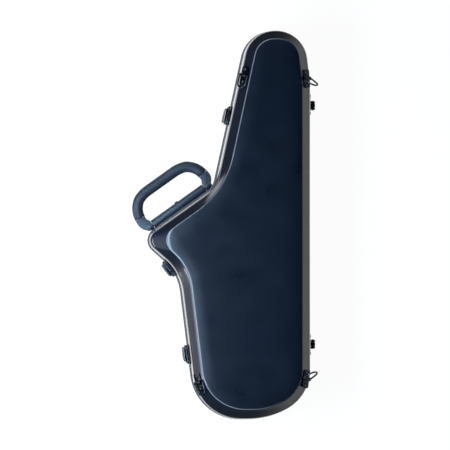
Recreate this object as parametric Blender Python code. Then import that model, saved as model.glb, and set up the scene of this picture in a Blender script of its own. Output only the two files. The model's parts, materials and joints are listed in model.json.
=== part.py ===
# Shaped hard case for an alto saxophone, lying on its back with the lid up.
# Metres. +X is the hinge side, +Y the neck end, +Z up out of the lid.
# The origin is on the resting plane, at the centre of the shell's outline.

import math

import bmesh
import bpy
from mathutils import Matrix, Vector

# Shell
shell_width = 0.2668
shell_length = 0.640
base_depth = 0.095
lid_height = 0.084
panel_crown = 0.004
crown_run = 0.022
shell_wall = 0.0035
band_width = 0.0185
chamfer_rise = 0.0145
shoulder_rise = 0.0135
wall_draft = 0.0016
arc_steps = 4
seat_gap = 0.0003

# Outline corners, counter-clockwise from the neck end on the hinge side:
# x and y over the shell's width and length from its centre, then over its width
# the fillet radius at the rim and at the panel's crease, and the share of the
# band's width along the edge that follows
outline_shares = (
    (0.462, 0.500, 0.205, 0.124, 0.97),
    (0.1123, 0.500, 0.200, 0.120, 1.00),
    (-0.0978, 0.0980, 0.112, 0.560, 0.895),
    (-0.5506, -0.0367, 0.0825, 0.098, 1.03),
    (-0.3133, -0.1244, 0.300, 0.333, 0.93),
    (-0.2030, -0.500, 0.304, 0.270, 1.08),
    (0.2360, -0.500, 0.505, 0.370, 1.015),
    (0.5030, -0.4408, 0.286, 0.230, 0.98),
    (0.5030, 0.366, 1.120, 1.050, 1.00),
)
# The most of an edge of the outline that its two fillets take between them
fillet_room_share = 0.99

# How far the section's rounded shoulder follows the outline towards the crease,
# and how a wall thickness turns from sideways to upright along it
knee_blend_share = 0.05
knee_rise_share = 0.55
foot_blend_share = 0.15
knee_turn_shares = (0.95, 0.25)
foot_turn_shares = (0.85, 0.45)
crease_turn_share = 0.35
crown_ring_shares = ((0.18, 0.22), (0.55, 0.68), (1.00, 1.00))

# Rims and their seal
rim_height = 0.0075
rim_overhang = 0.0015
rim_land = 0.0031
rim_inner_land = 0.0028
flange_depth = 0.013
flange_thickness = 0.0022
tongue_width = 0.0016
tongue_height = 0.003
tongue_clearance = 0.0008
groove_depth = 0.006

# Padding
cradle_drop = 0.0025
well_floor = 0.018
pocket_floor = 0.035
padding_lip = 0.003
recess_margin = 0.010
recess_depth = 0.050
well_corner_radius = 0.020
# Corners of the wells, over the shell's width and length
body_well_shares = ((0.413, 0.440), (0.173, 0.440), (0.143, -0.330), (0.435, -0.330))
bell_well_shares = (
    (0.080, 0.056),
    (-0.126, 0.056),
    (-0.415, -0.036),
    (-0.240, -0.131),
    (-0.185, -0.230),
    (0.080, -0.230),
)
bow_well_shares = (
    (0.435, -0.206),
    (-0.195, -0.206),
    (-0.125, -0.455),
    (0.190, -0.462),
    (0.435, -0.412),
)
pocket_shares = ((0.120, 0.350), (0.085, 0.350), (-0.040, 0.100), (0.120, 0.100))
pocket_corner_radius = 0.006

# Hinges
hinge_y_shares = (("neck", 0.3084), ("bow", -0.3072))
hinge_barrel_radius = 0.0043
hinge_clearance = 0.0004
hinge_pin_radius = 0.0016
hinge_pin_head_radius = 0.0029
hinge_pin_head = 0.0009
hinge_middle_knuckle = 0.0066
hinge_end_knuckle = 0.0032
hinge_leaf_width = 0.036
hinge_leaf_height = 0.022
hinge_leaf_thickness = 0.0012
hinge_strap = 0.0018
hinge_leaf_corner = 0.004

# Plates on the walls
plate_thickness = 0.0015
plate_setback = 0.0015
rivet_radius = 0.0021
rivet_head = 0.0008
pin_clearance = 0.00015

# Latches
latch_y_shares = (0.281, -0.1100, -0.3325)
keeper_width = 0.033
keeper_height = 0.019
keeper_corner = 0.007
hook_width = 0.020
hook_rise = 0.003
hook_shelf = 0.0026
hook_slot = 0.0018
hook_lip = 0.0012
hook_lip_height = 0.0016
latch_plate_width = 0.027
latch_plate_height = 0.028
lever_width = 0.024
lever_reach = 0.0245
lever_thickness = 0.0013
lever_cheek = 0.0016
lever_curl = 0.0010
lever_stand = 0.0024
pivot_stand = 0.0033
pivot_drop = 0.0030
pivot_pin_radius = 0.0014
pivot_boss_radius = 0.0026
ear_thickness = 0.0017
ear_boss_radius = 0.0021
side_clearance = 0.0003
bail_wire_radius = 0.0013
bail_side_clearance = 0.0012
bail_foot_drop = 0.006
bail_foot_inset = 0.0004
bail_corner = 0.004

# Ring fittings
ring_fitting_shares = (
    ("neck_left", -1, 0.379, 2),
    ("neck_right", 1, 0.371, 52),
    ("bow_left", -1, -0.4000, 2),
    ("bow_right", 1, -0.3917, 130),
)
ring_gap = 0.0006
ring_band_share = 0.33
bracket_length = 0.030
bracket_width = 0.014
bracket_thickness = 0.0015
ring_wire_radius = 0.0016
ring_width = 0.019
ring_length = 0.021
ring_corner = 0.0025
ring_running_gap = 0.0003
screw_spacing = 0.021
screw_head_radius = 0.0030
screw_head_height = 0.0018
screw_shank_radius = 0.0015
screw_hole_clearance = 0.0002

# Handle
handle_place_share = 0.427
handle_stand = 0.0065
handle_drop = 0.028
mount_radius = 0.0076
mount_half_length = 0.0524
mount_foot_length = 0.092
mount_foot_height = 0.021
mount_foot_toe = 0.0035
mount_rim_clearance = 0.0007
mount_button_radius = 0.003
mount_button_height = 0.0016
handle_side_gap = 0.0006
cheek_levels = (0.007, 0.010, 0.012)
cheek_radii = (0.0070, 0.0058, 0.0044)
cheek_height = 0.0105
arm_root = 0.0085
arm_reach = 0.0195
arm_half_width = 0.0086
core_radius = 0.005
grip_radius = 0.009
grip_running_gap = 0.0003
handle_half_length = 0.0643
handle_reach = 0.051
handle_pin_radius = 0.003
handle_pin_depth = 0.012
handle_pin_head_radius = 0.0035
handle_pin_head = 0.0008
# One half of the handle's centre line over its half span and reach
handle_path_shares = (
    (0.000, 1.000),
    (0.310, 1.000),
    (0.500, 0.995),
    (0.655, 0.953),
    (0.770, 0.886),
    (0.890, 0.733),
    (0.960, 0.569),
    (0.995, 0.392),
    (1.000, 0.290),
)
# The arm's outer and inner edge below the grip, over the same span and reach
arm_outer_shares = ((1.081, 0.129), (1.135, 0.314))
arm_inner_shares = ((0.871, 0.275),)
grip_end_share = 0.80

round_sides = 12
small_sides = 8
wire_sides = 6
overrun = 0.004

up = Vector((0, 0, 1))


def hex_colour(code):
    """Linear colour of an sRGB hex code."""
    channels = [int(code[i:i + 2], 16) / 255 for i in (0, 2, 4)]
    return [c / 12.92 if c <= 0.04045 else ((c + 0.055) / 1.055) ** 2.4 for c in channels] + [1]


def make_material(name, code, roughness, metallic=0.0):
    material = bpy.data.materials.new(name)
    material.use_nodes = True
    shader = material.node_tree.nodes["Principled BSDF"]
    shader.inputs["Base Color"].default_value = hex_colour(code)
    shader.inputs["Roughness"].default_value = roughness
    shader.inputs["Metallic"].default_value = metallic
    return material


# Outlines

def left_of(direction):
    return Vector((-direction.y, direction.x))


def turn_between(before, after):
    return math.atan2(before.x * after.y - before.y * after.x, before.dot(after))


def filleted(corners, radii, room_share=1):
    """The closed line through the corners with a fillet at each one, shorter where an edge is too short."""
    count = len(corners)
    edges = [corners[(i + 1) % count] - corners[i] for i in range(count)]
    turns = [turn_between(edges[i - 1], edges[i]) for i in range(count)]
    wanted = [radii[i] * math.tan(abs(turns[i]) / 2) for i in range(count)]
    points = []
    for i in range(count):
        before, after = edges[i - 1], edges[i]
        room_before = before.length * room_share * wanted[i] / (wanted[i] + wanted[i - 1])
        room_after = after.length * room_share * wanted[i] / (wanted[i] + wanted[(i + 1) % count])
        tangent = min(wanted[i], room_before, room_after)
        radius = tangent / math.tan(turns[i] / 2)
        start = corners[i] - before.normalized() * tangent
        centre = start + left_of(before.normalized()) * radius
        for step in range(arc_steps + 1):
            spin = Matrix.Rotation(turns[i] * step / arc_steps, 2)
            points.append(centre + spin @ (start - centre))
    return points


def crossing_of_lines(point, direction, other, other_direction):
    across = left_of(other_direction)
    return point + direction * ((other - point).dot(across) / direction.dot(across))


def inset(line, distance):
    """A closed line moved inwards by a distance."""
    count = len(line)
    moved = []
    for i in range(count):
        before = left_of((line[i] - line[i - 1]).normalized())
        after = left_of((line[(i + 1) % count] - line[i]).normalized())
        middle = (before + after).normalized()
        moved.append(line[i] + middle * distance / middle.dot(after))
    return moved


def scaled_corners(shares):
    return [Vector((x * shell_width, y * shell_length)) for x, y in shares]


def panel_corners(corners):
    """The rim's corners with each edge moved inwards by its own share of the band."""
    count = len(corners)
    starts, directions = [], []
    for i in range(count):
        direction = (corners[(i + 1) % count] - corners[i]).normalized()
        starts.append(corners[i] + left_of(direction) * band_width * outline_shares[i][4])
        directions.append(direction)
    return [
        crossing_of_lines(starts[i - 1], directions[i - 1], starts[i], directions[i]) for i in range(count)
    ]


rim_corners = scaled_corners([row[:2] for row in outline_shares])
rim_radii, panel_radii = [[row[i] * shell_width for row in outline_shares] for i in (2, 3)]
rim_line = filleted(rim_corners, rim_radii, fillet_room_share)
panel_line = filleted(panel_corners(rim_corners), panel_radii, fillet_room_share)


def line_between(blend_share, distance):
    """A line between the rim's and the panel's, moved inwards."""
    return inset([a.lerp(b, blend_share) for a, b in zip(rim_line, panel_line)], distance)


def place_on(line, y, side):
    """Where the line crosses y on one side: the step before it, and how far along that step."""
    found = []
    for i, point in enumerate(line):
        following = line[(i + 1) % len(line)]
        if (point.y - y) * (following.y - y) < 0:
            part = (y - point.y) / (following.y - point.y)
            found.append((side * point.lerp(following, part).x, i, part))
    return max(found)[1:]


def point_along(line, step, part):
    return line[step].lerp(line[(step + 1) % len(line)], part)


def axes_frame(origin, x_axis, y_axis, z_axis):
    frame = Matrix((x_axis, y_axis, z_axis)).transposed().to_4x4()
    frame.translation = origin
    return frame


def walked(line, step, part, distance):
    """The point of a closed line at a distance ahead of a place on it, or behind it."""
    lengths = [(line[(i + 1) % len(line)] - line[i]).length for i in range(len(line))]
    left = distance + part * lengths[step]
    while left < 0:
        step = (step - 1) % len(line)
        left += lengths[step]
    while left > lengths[step]:
        left -= lengths[step]
        step = (step + 1) % len(line)
    return point_along(line, step, left / lengths[step])


def wall_place(y_share, side, width):
    """A frame at the parting plane where a flat fitting of this width meets the rim: Y outwards, Z up."""
    step, part = place_on(rim_line, y_share * shell_length, side)
    start, end = [walked(rim_line, step, part, reach) for reach in (-width / 2, width / 2)]
    outward = -left_of((end - start).normalized())
    middle = start.lerp(end, 1 / 2)
    rise = max(0, (point_along(rim_line, step, part) - middle).dot(outward))
    outward = outward.to_3d()
    origin = middle.to_3d() + outward * rise + up * base_depth
    return axes_frame(origin, outward.cross(up), outward, up)


# Solids

def spread(a, b, c, plane):
    return {"xy": Vector((a, b, c)), "yz": Vector((c, a, b)), "xz": Vector((a, c, b))}[plane]


def circle(radius, sides, centre=(0.0, 0.0)):
    turns = [2 * math.pi * (i + 0.5) / sides for i in range(sides)]
    return [(centre[0] + radius * math.cos(t), centre[1] + radius * math.sin(t)) for t in turns]


def rounded_box(low, high, radius):
    """A rectangle with round corners, as a list of points."""
    corners = ((high, high, 0), (low, high, 1), (low, low, 2), (high, low, 3))
    points = []
    for x_end, y_end, quarter in corners:
        x = x_end[0] + (radius if x_end is low else -radius)
        y = y_end[1] + (radius if y_end is low else -radius)
        for step in range(3):
            turn = (quarter + step / 2) * math.pi / 2
            points.append((x + radius * math.cos(turn), y + radius * math.sin(turn)))
    return points


def make_object(name, mesh, material, frame):
    mesh.update()
    obj = bpy.data.objects.new(name, mesh)
    obj.matrix_world = frame
    bpy.context.scene.collection.objects.link(obj)
    if material:
        mesh.materials.append(material)
    return obj


def skin(name, loops, material=None, frame=None, joined_ends=False, smooth=True):
    """A solid whose surface runs from loop to loop, capped at both ends or joined in a ring."""
    shape = bmesh.new()
    rows = [[shape.verts.new(point) for point in loop] for loop in loops]
    pairs = list(zip(rows, rows[1:])) + ([(rows[-1], rows[0])] if joined_ends else [])
    for low, high in pairs:
        for i in range(len(low)):
            after = (i + 1) % len(low)
            shape.faces.new((low[i], low[after], high[after], high[i]))
    if not joined_ends:
        shape.faces.new(rows[0][::-1])
        shape.faces.new(rows[-1])
    bmesh.ops.recalc_face_normals(shape, faces=shape.faces)
    mesh = bpy.data.meshes.new(name)
    shape.to_mesh(mesh)
    shape.free()
    if smooth:
        mesh.shade_smooth()
        mesh.set_sharp_from_angle(angle=math.radians(35))
    return make_object(name, mesh, material, frame or Matrix())


def prism(name, outline, low, high, plane="xy", material=None, frame=None):
    """An outline pushed from low to high along the axis that its plane leaves out."""
    loops = [[spread(a, b, level, plane) for a, b in outline] for level in (low, high)]
    return skin(name, loops, material, frame)


def tube_loops(path, radius, sides, flat, closed=False):
    """Rings of points round a path that lies in one plane, whose normal is flat."""
    count = len(path)
    loops = []
    for i, point in enumerate(path):
        last = i == count - 1 and not closed
        first = i == 0 and not closed
        after = (path[i] - path[i - 1]) if last else (path[(i + 1) % count] - point)
        before = after if first else (point - path[i - 1])
        before, after = before.normalized(), after.normalized()
        along = (before + after).normalized()
        side = along.cross(flat)
        stretch = 1 / along.dot(after)
        loops.append([
            point + side * (radius * stretch * math.cos(turn)) + flat * (radius * math.sin(turn))
            for turn in (2 * math.pi * (k + 0.5) / sides for k in range(sides))
        ])
    return loops


def smooth_path(points, steps):
    """Points along a smooth curve through the given ones."""
    path = []
    for i in range(len(points) - 1):
        a, b = points[max(i - 1, 0)], points[i]
        c, d = points[i + 1], points[min(i + 2, len(points) - 1)]
        for k in range(steps):
            t = k / steps
            bend = (c - a) * t + (2 * a - 5 * b + 4 * c - d) * t ** 2 + (3 * b - a - 3 * c + d) * t ** 3
            path.append(b + bend / 2)
    return path + [points[-1]]


def combine(target, tool, operation):
    """Joins a hidden helper to a piece, or cuts it out."""
    tool.hide_render = True
    tool.display_type = "WIRE"
    step = target.modifiers.new(tool.name, "BOOLEAN")
    step.operation = operation
    step.solver = "EXACT"
    step.object = tool


def carry(children, parent):
    bpy.context.view_layer.update()
    for child in children:
        child.parent = parent
        child.matrix_parent_inverse = parent.matrix_world.inverted()


def make_axis(name, frame):
    axis = bpy.data.objects.new(name, None)
    axis.matrix_world = frame
    axis.empty_display_size = shell_wall
    bpy.context.scene.collection.objects.link(axis)
    return axis


# Shell halves: a section row is a blend towards the panel's line, an inset and a
# height above the parting plane, or below it for the base

def section_rows(depth, thickness):
    foot = depth - chamfer_rise
    wall_end = foot - shoulder_rise
    lean = rim_overhang + wall_draft
    knee = wall_end + shoulder_rise * knee_rise_share
    return [
        (0, rim_overhang + thickness, rim_height + seat_gap),
        (0, lean + thickness, wall_end),
        (knee_blend_share, lean + thickness * knee_turn_shares[0], knee - thickness * knee_turn_shares[1]),
        (foot_blend_share, lean + thickness * foot_turn_shares[0], foot - thickness * foot_turn_shares[1]),
        (1, thickness * crease_turn_share, depth - thickness),
    ]


def row_loop(row, side):
    blend_share, distance, rise = row
    height = base_depth + side * rise
    return [Vector((p.x, p.y, height)) for p in line_between(blend_share, distance)]


def lid_crease():
    return lid_height - panel_crown


def crown_rows():
    return [(1, crown_run * run, lid_crease() + panel_crown * rise) for run, rise in crown_ring_shares[::-1]]


def make_base_shell(material):
    rows = section_rows(base_depth, 0)[::-1] + section_rows(base_depth, shell_wall)
    return skin("base_shell", [row_loop(row, -1) for row in rows], material)


def make_lid_shell(material):
    rows = crown_rows() + section_rows(lid_crease(), 0)[::-1] + section_rows(lid_crease(), shell_wall)
    return skin("lid_shell", [row_loop(row, 1) for row in rows], material)


def rim_rows(middle):
    """A rim's section: its land, seat and inner flange round the points of its tongue or groove."""
    flange_outer = rim_overhang + shell_wall + seat_gap
    inner = rim_land + tongue_width + rim_inner_land
    half_gap = seat_gap / 2
    return (
        [(0, 0, half_gap)] + middle
        + [(0, inner, half_gap), (0, inner, flange_depth), (0, inner - flange_thickness, flange_depth)]
        + [(0, flange_outer, rim_height), (0, 0, rim_height)]
    )


def make_rims(material, seal_material):
    half_gap = seat_gap / 2
    tongue_end = rim_land + tongue_width
    tongue = [(0, rim_land, half_gap), (0, rim_land, -tongue_height)]
    tongue += [(0, tongue_end, -tongue_height), (0, tongue_end, half_gap)]
    groove_start = rim_land - tongue_clearance
    groove_end = tongue_end + tongue_clearance
    groove = [(0, groove_start, half_gap), (0, groove_start, groove_depth)]
    groove += [(0, groove_end, groove_depth), (0, groove_end, half_gap)]
    base_rim = skin("base_rim", [row_loop(row, -1) for row in rim_rows(tongue)], material, joined_ends=True)
    lid_rim = skin("lid_rim", [row_loop(row, 1) for row in rim_rows(groove)], material, joined_ends=True)
    low, high = tongue_height + seat_gap, groove_depth - seat_gap
    outer, inner = groove_start + seat_gap, groove_end - seat_gap
    seal = [(0, outer, low), (0, outer, high), (0, inner, high), (0, inner, low)]
    gasket = skin("lid_gasket", [row_loop(row, 1) for row in seal], seal_material, joined_ends=True)
    return base_rim, lid_rim, gasket


# Padding

def well_cutter(name, shares, radius, floor):
    line = filleted(scaled_corners(shares), [radius] * len(shares))
    apart = [tuple(point) for i, point in enumerate(line) if (point - line[i - 1]).length > seat_gap]
    return prism(name, apart, floor, base_depth)


def padding_rows(depth, rise):
    lining = shell_wall + seat_gap
    rows = section_rows(depth, lining)
    return rows[:0:-1] + [(0, rows[1][1], rise)]


def make_base_cradle(material):
    rows = padding_rows(base_depth, flange_depth + cradle_drop)
    cradle = skin("base_cradle", [row_loop(row, -1) for row in rows], material)
    wells = (
        ("body_well", body_well_shares, well_corner_radius, well_floor),
        ("bell_well", bell_well_shares, well_corner_radius, well_floor),
        ("bow_well", bow_well_shares, well_corner_radius, well_floor),
        ("pocket", pocket_shares, pocket_corner_radius, pocket_floor),
    )
    for name, shares, radius, floor in wells:
        combine(cradle, well_cutter(name + "_cutter", shares, radius, floor), "DIFFERENCE")
    return cradle


def make_lid_padding(material):
    rise = flange_depth + padding_lip
    rows = padding_rows(lid_crease(), rise)
    rows += [(1, recess_margin, rise), (1, recess_margin, rise + recess_depth)]
    return skin("lid_padding", [row_loop(row, 1) for row in rows], material)


# Plates on the walls

def wall_frame(place, side):
    """The place tilted to lie on the drafted wall of the lid, or of the base, from the rim's edge on."""
    depth = lid_crease() if side > 0 else base_depth
    rows = section_rows(depth, 0)
    tilt = math.atan2(rows[1][1] - rows[0][1], rows[1][2] - rows[0][2])
    start = Matrix.Translation((0, -rim_overhang, side * rim_height))
    return place @ start @ Matrix.Rotation(side * tilt, 4, "X")


def wall_plate(name, width, height, thickness, corner, place, side, material):
    """A plate with round corners, seated on the wall beside the rim."""
    edges = sorted((side * plate_setback, side * (plate_setback + height)))
    outline = rounded_box((-width / 2, edges[0]), (width / 2, edges[1]), corner)
    return prism(name, outline, seat_gap, seat_gap + thickness, "xz", material, wall_frame(place, side))


def add_rivets(plate, spots, front):
    for i, spot in enumerate(spots):
        head = circle(rivet_radius, small_sides, spot)
        tool = prism(f"{plate.name}_rivet_{i}", head, front - plate_thickness / 2, front + rivet_head, "xz",
                     frame=plate.matrix_world)
        combine(plate, tool, "UNION")


# Hinges

def knuckle(name, low, high, side, frame):
    """A barrel and the strap that passes the rim and steps back into its leaf."""
    barrel = prism(name, circle(hinge_barrel_radius, round_sides), low, high, "yz", frame=frame)
    inner = -hinge_barrel_radius
    outer = inner + hinge_strap
    root = inner - hinge_clearance - rim_overhang + seat_gap + hinge_leaf_thickness / 2
    step = side * (rim_height + plate_setback + seat_gap)
    reach = step + side * hinge_strap
    foot = reach + side * hinge_strap
    strap = [(inner, 0), (outer, 0), (outer, reach), (root, foot), (root, step), (inner, step)]
    combine(barrel, prism(name + "_strap", strap, low, high, "yz", frame=frame), "UNION")
    return barrel


def make_hinge(name, y_share, metal):
    place = wall_place(y_share, 1, hinge_leaf_width)
    axis_frame = place @ Matrix.Translation((0, hinge_barrel_radius + hinge_clearance, 0))
    middle = hinge_middle_knuckle / 2
    end = middle + seat_gap + hinge_end_knuckle
    knuckles = {-1: [(-middle, middle)], 1: [(-end, -middle - seat_gap), (middle + seat_gap, end)]}
    hole = circle(hinge_pin_radius + pin_clearance, round_sides)
    leaves = []
    for side, word in ((-1, "base"), (1, "lid")):
        leaf_name = f"hinge_{name}_{word}_leaf"
        leaf = wall_plate(leaf_name, hinge_leaf_width, hinge_leaf_height, hinge_leaf_thickness,
                          hinge_leaf_corner, place, side, metal)
        for i, (low, high) in enumerate(knuckles[side]):
            combine(leaf, knuckle(f"{leaf_name}_knuckle_{i}", low, high, side, axis_frame), "UNION")
        bore = prism(leaf_name + "_bore", hole, -end - overrun, end + overrun, "yz", frame=axis_frame)
        combine(leaf, bore, "DIFFERENCE")
        rivet_x = hinge_leaf_width / 2 - 2 * rivet_radius
        rivet_z = side * (plate_setback + hinge_leaf_height - 2 * rivet_radius)
        add_rivets(leaf, [(-rivet_x, rivet_z), (rivet_x, rivet_z)], seat_gap + hinge_leaf_thickness)
        leaves.append(leaf)
    reach = end + seat_gap
    levels = (-reach - hinge_pin_head, -reach, reach, reach + hinge_pin_head)
    radii = (hinge_pin_head_radius, hinge_pin_radius, hinge_pin_head_radius)
    pin = turned(f"hinge_{name}_pin", levels, radii, metal, axis_frame)
    return leaves[1], leaves[0], pin, axis_frame.translation


def turned(name, levels, radii, material, frame):
    """A stepped round piece along local X: a radius for each stretch between two levels."""
    loops = []
    for i, radius in enumerate(radii):
        for level in levels[i:i + 2]:
            loops.append([spread(a, b, level, "yz") for a, b in circle(radius, round_sides)])
    return skin(name, loops, material, frame)


# Latches

def hook_level():
    """Where the bail's bar lies over the keeper's shelf, in the lid wall's frame."""
    front = seat_gap + plate_thickness
    stand = front + side_clearance + bail_wire_radius
    rise = hook_rise + plate_setback + hook_shelf + seat_gap + bail_wire_radius
    return stand, rise


def make_keeper(name, place, metal):
    plate = wall_plate(name, keeper_width, keeper_height, plate_thickness, keeper_corner, place, 1, metal)
    stand, bar_rise = hook_level()
    low = plate_setback + hook_rise
    shelf = low + hook_shelf
    root = seat_gap + plate_thickness / 2
    lip_inner = stand + bail_wire_radius + hook_slot
    lip_outer = lip_inner + hook_lip
    lip_top = shelf + hook_lip_height
    outline = [(root, low), (lip_inner, low), (lip_outer, low + hook_lip / 2), (lip_outer, lip_top)]
    outline += [(lip_inner, lip_top), (lip_inner, shelf), (root, shelf)]
    hook = prism(name + "_hook", outline, -hook_width / 2, hook_width / 2, "yz", frame=plate.matrix_world)
    combine(plate, hook, "UNION")
    rivet_x = keeper_width / 2 - keeper_corner
    rivet_z = plate_setback + keeper_height - 2 * rivet_radius
    add_rivets(plate, [(-rivet_x, rivet_z), (rivet_x, rivet_z)], seat_gap + plate_thickness)
    return plate


def ear_outline():
    """An ear's side view about the pivot: a round end, and a foot that sinks into the plate."""
    foot = -(pivot_stand + rim_overhang) + seat_gap + plate_thickness / 2
    end = circle(ear_boss_radius, small_sides)
    outer = [point for point in end if point[0] > 0]
    outer.sort(key=lambda point: point[1])
    low = -2 * ear_boss_radius
    return [(foot, low), (0, low)] + outer + [(0, ear_boss_radius), (foot, ear_boss_radius)]


def make_latch_plate(name, place, pivot, metal):
    plate = wall_plate(name, latch_plate_width, latch_plate_height, plate_thickness,
                       hinge_leaf_corner, place, -1, metal)
    outer = lever_width / 2 - lever_cheek - side_clearance
    for word, low in (("near", -outer), ("far", outer - ear_thickness)):
        ear = prism(f"{name}_{word}_ear", ear_outline(), low, low + ear_thickness, "yz", frame=pivot)
        combine(plate, ear, "UNION")
    hole = circle(pivot_pin_radius + pin_clearance, round_sides)
    combine(plate, prism(name + "_bore", hole, -lever_width, lever_width, "yz", frame=pivot), "DIFFERENCE")
    rivet_z = -(plate_setback + latch_plate_height - 2 * rivet_radius)
    add_rivets(plate, [(0, rivet_z)], seat_gap + plate_thickness)
    return plate


def make_lever(name, pivot, metal):
    """A pressed lever: a plate with a curled finger end between two cheeks."""
    half = lever_width / 2
    top = pivot_pin_radius
    curl_start = -lever_reach + 2 * pivot_boss_radius
    inner, outer = lever_stand, lever_stand + lever_thickness
    outline = [(inner, top), (inner, curl_start), (inner + lever_curl, -lever_reach)]
    outline += [(outer + lever_curl, -lever_reach), (outer, curl_start), (outer, top)]
    lever = prism(name, outline, -half, half, "yz", metal, pivot)
    cheek = [(inner + lever_thickness / 2, top)]
    cheek += arc(pivot_boss_radius, (0, 0), math.radians(60), math.radians(190), 5)
    foot = (-bail_foot_inset, -bail_foot_drop)
    cheek += arc(pivot_boss_radius, foot, math.radians(170), math.radians(290), 5)
    cheek += [(inner + lever_thickness / 2, -bail_foot_drop - 2 * pivot_boss_radius)]
    for word, low in (("near", -half), ("far", half - lever_cheek)):
        tool = prism(f"{name}_{word}_cheek", cheek, low, low + lever_cheek, "yz", frame=pivot)
        combine(lever, tool, "UNION")
    holes = (("pivot", pivot_pin_radius, (0, 0)), ("foot", bail_wire_radius, foot))
    for word, radius, centre in holes:
        hole = circle(radius + pin_clearance, round_sides, centre)
        tool = prism(f"{name}_{word}_bore", hole, -lever_width, lever_width, "yz", frame=pivot)
        combine(lever, tool, "DIFFERENCE")
    return lever


def arc(radius, centre, start, end, steps):
    turns = [start + (end - start) * i / steps for i in range(steps + 1)]
    return [(centre[0] + radius * math.cos(t), centre[1] + radius * math.sin(t)) for t in turns]


def make_bail(name, place, foot, metal):
    """A wire bail from its feet in the lever's cheeks up to its bar over the hook."""
    stand, rise = hook_level()
    bar = foot.inverted() @ wall_frame(place, 1) @ Vector((0, stand, rise))
    half = lever_width / 2 + bail_side_clearance + bail_wire_radius
    foot_end = lever_width / 2 - lever_cheek
    reach = bar.length
    line = bar.normalized()
    outline = [(foot_end, 0), (half - bail_corner / 2, 0)]
    outline += arc(bail_corner / 2, (half - bail_corner / 2, bail_corner / 2), -math.pi / 4, 0, 1)
    outline += arc(bail_corner, (half - bail_corner, reach - bail_corner), 0, math.pi / 2, 3)
    outline += [(-x, z) for x, z in outline[::-1]]
    path = [Vector((x, 0, 0)) + line * z for x, z in outline]
    flat = Vector((1, 0, 0)).cross(line)
    return skin(name, tube_loops(path, bail_wire_radius, wire_sides, flat), metal, foot)


def make_latch(number, y_share, metal, dark_metal):
    name = f"latch_{number}"
    place = wall_place(y_share, -1, keeper_width)
    pivot = place @ Matrix.Translation((0, pivot_stand, -rim_height - pivot_drop))
    foot = pivot @ Matrix.Translation((0, -bail_foot_inset, -bail_foot_drop))
    keeper = make_keeper(name + "_keeper", place, metal)
    plate = make_latch_plate(name + "_base_plate", place, pivot, dark_metal)
    lever = make_lever(name + "_lever", pivot, metal)
    end = lever_width / 2 + side_clearance
    round_bar = circle(pivot_pin_radius, round_sides)
    pin = prism(name + "_lever_pin", round_bar, -end, end, "yz", dark_metal, pivot)
    bail = make_bail(name + "_bail", place, foot, dark_metal)
    carry([bail], lever)
    return keeper, plate, lever, pin, bail


# Ring fittings

def band_place(y_share, side):
    """A frame on the sloping band: X along it towards the bow, Z out of its surface."""
    rows = section_rows(lid_crease(), 0)
    foot_line, crease_line = line_between(rows[3][0], rows[3][1]), line_between(1, 0)
    middle = [a.lerp(b, ring_band_share) for a, b in zip(foot_line, crease_line)]
    step, part = place_on(middle, y_share * shell_length, side)
    low, high = point_along(foot_line, step, part), point_along(crease_line, step, part)
    along = (middle[step] - middle[(step + 1) % len(middle)]).normalized().to_3d()
    along = along if along.y < 0 else -along
    rise = rows[4][2] - rows[3][2]
    slope = (high - low).to_3d() + up * rise
    slope = (slope - along * slope.dot(along)).normalized()
    normal = along.cross(slope)
    normal = normal if normal.z > 0 else -normal
    level = base_depth + rows[3][2] + rise * ring_band_share
    origin = point_along(middle, step, part).to_3d() + up * level
    return axes_frame(origin, along, normal.cross(along), normal)


def bracket_outline():
    """The strip's side view: flat ends and an arch over the ring's bar."""
    axis = ring_axis_height()
    top = ring_gap + bracket_thickness
    inner = ring_wire_radius + ring_running_gap
    outer = inner + bracket_thickness
    half = bracket_length / 2
    outline = [(-half, ring_gap), (-half, top), (-outer, top)]
    outline += arc(outer, (0, axis), math.pi, 0, 6)
    outline += [(outer, top), (half, top), (half, ring_gap), (inner, ring_gap)]
    outline += arc(inner, (0, axis), 0, math.pi, 6)
    return outline + [(-inner, ring_gap)]


def ring_axis_height():
    return ring_gap + ring_running_gap + ring_wire_radius


def make_ring_fitting(name, side, y_share, rest_angle, metal, dark_metal):
    place = band_place(y_share, side)
    half_width = bracket_width / 2
    strip = bracket_outline()
    bracket = prism(f"ring_{name}_bracket", strip, -half_width, half_width, "xz", dark_metal, place)
    top = ring_gap + bracket_thickness
    screws, holes = [], []
    for word, x in (("a", -screw_spacing / 2), ("b", screw_spacing / 2)):
        hole = circle(screw_shank_radius + screw_hole_clearance, small_sides, (x, 0))
        cutter = prism(f"ring_{name}_hole_{word}", hole, -overrun, top + overrun, frame=place)
        combine(bracket, cutter, "DIFFERENCE")
        holes.append(prism(f"ring_{name}_shell_hole_{word}", hole, -2 * overrun, overrun / 2, frame=place))
        frame = place @ Matrix.Translation((x, 0, 0)) @ Matrix.Rotation(-math.pi / 2, 4, "Y")
        levels = (seat_gap - shell_wall, top + seat_gap, top + seat_gap + screw_head_height)
        radii = (screw_shank_radius, screw_head_radius)
        screws.append(turned(f"ring_{name}_screw_{word}", levels, radii, metal, frame))
    half, side_y = ring_width / 2, ring_width / 2 - ring_corner
    outline = [(0, -side_y), (0, side_y)]
    outline += arc(ring_corner, (ring_corner, side_y), 3 * math.pi / 4, math.pi / 2, 1)
    outline += arc(half, (ring_length - half, 0), math.pi / 2, -math.pi / 2, 8)
    outline += arc(ring_corner, (ring_corner, -side_y), -math.pi / 2, -3 * math.pi / 4, 1)
    spin = Matrix.Rotation(-math.radians(rest_angle), 4, "Y")
    frame = place @ Matrix.Translation((0, 0, ring_axis_height())) @ spin
    path = [Vector((x, y, 0)) for x, y in outline]
    ring = skin(f"ring_{name}", tube_loops(path, ring_wire_radius, wire_sides, up, closed=True), metal, frame,
                joined_ends=True)
    return bracket, ring, screws, holes


# Handle

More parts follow.
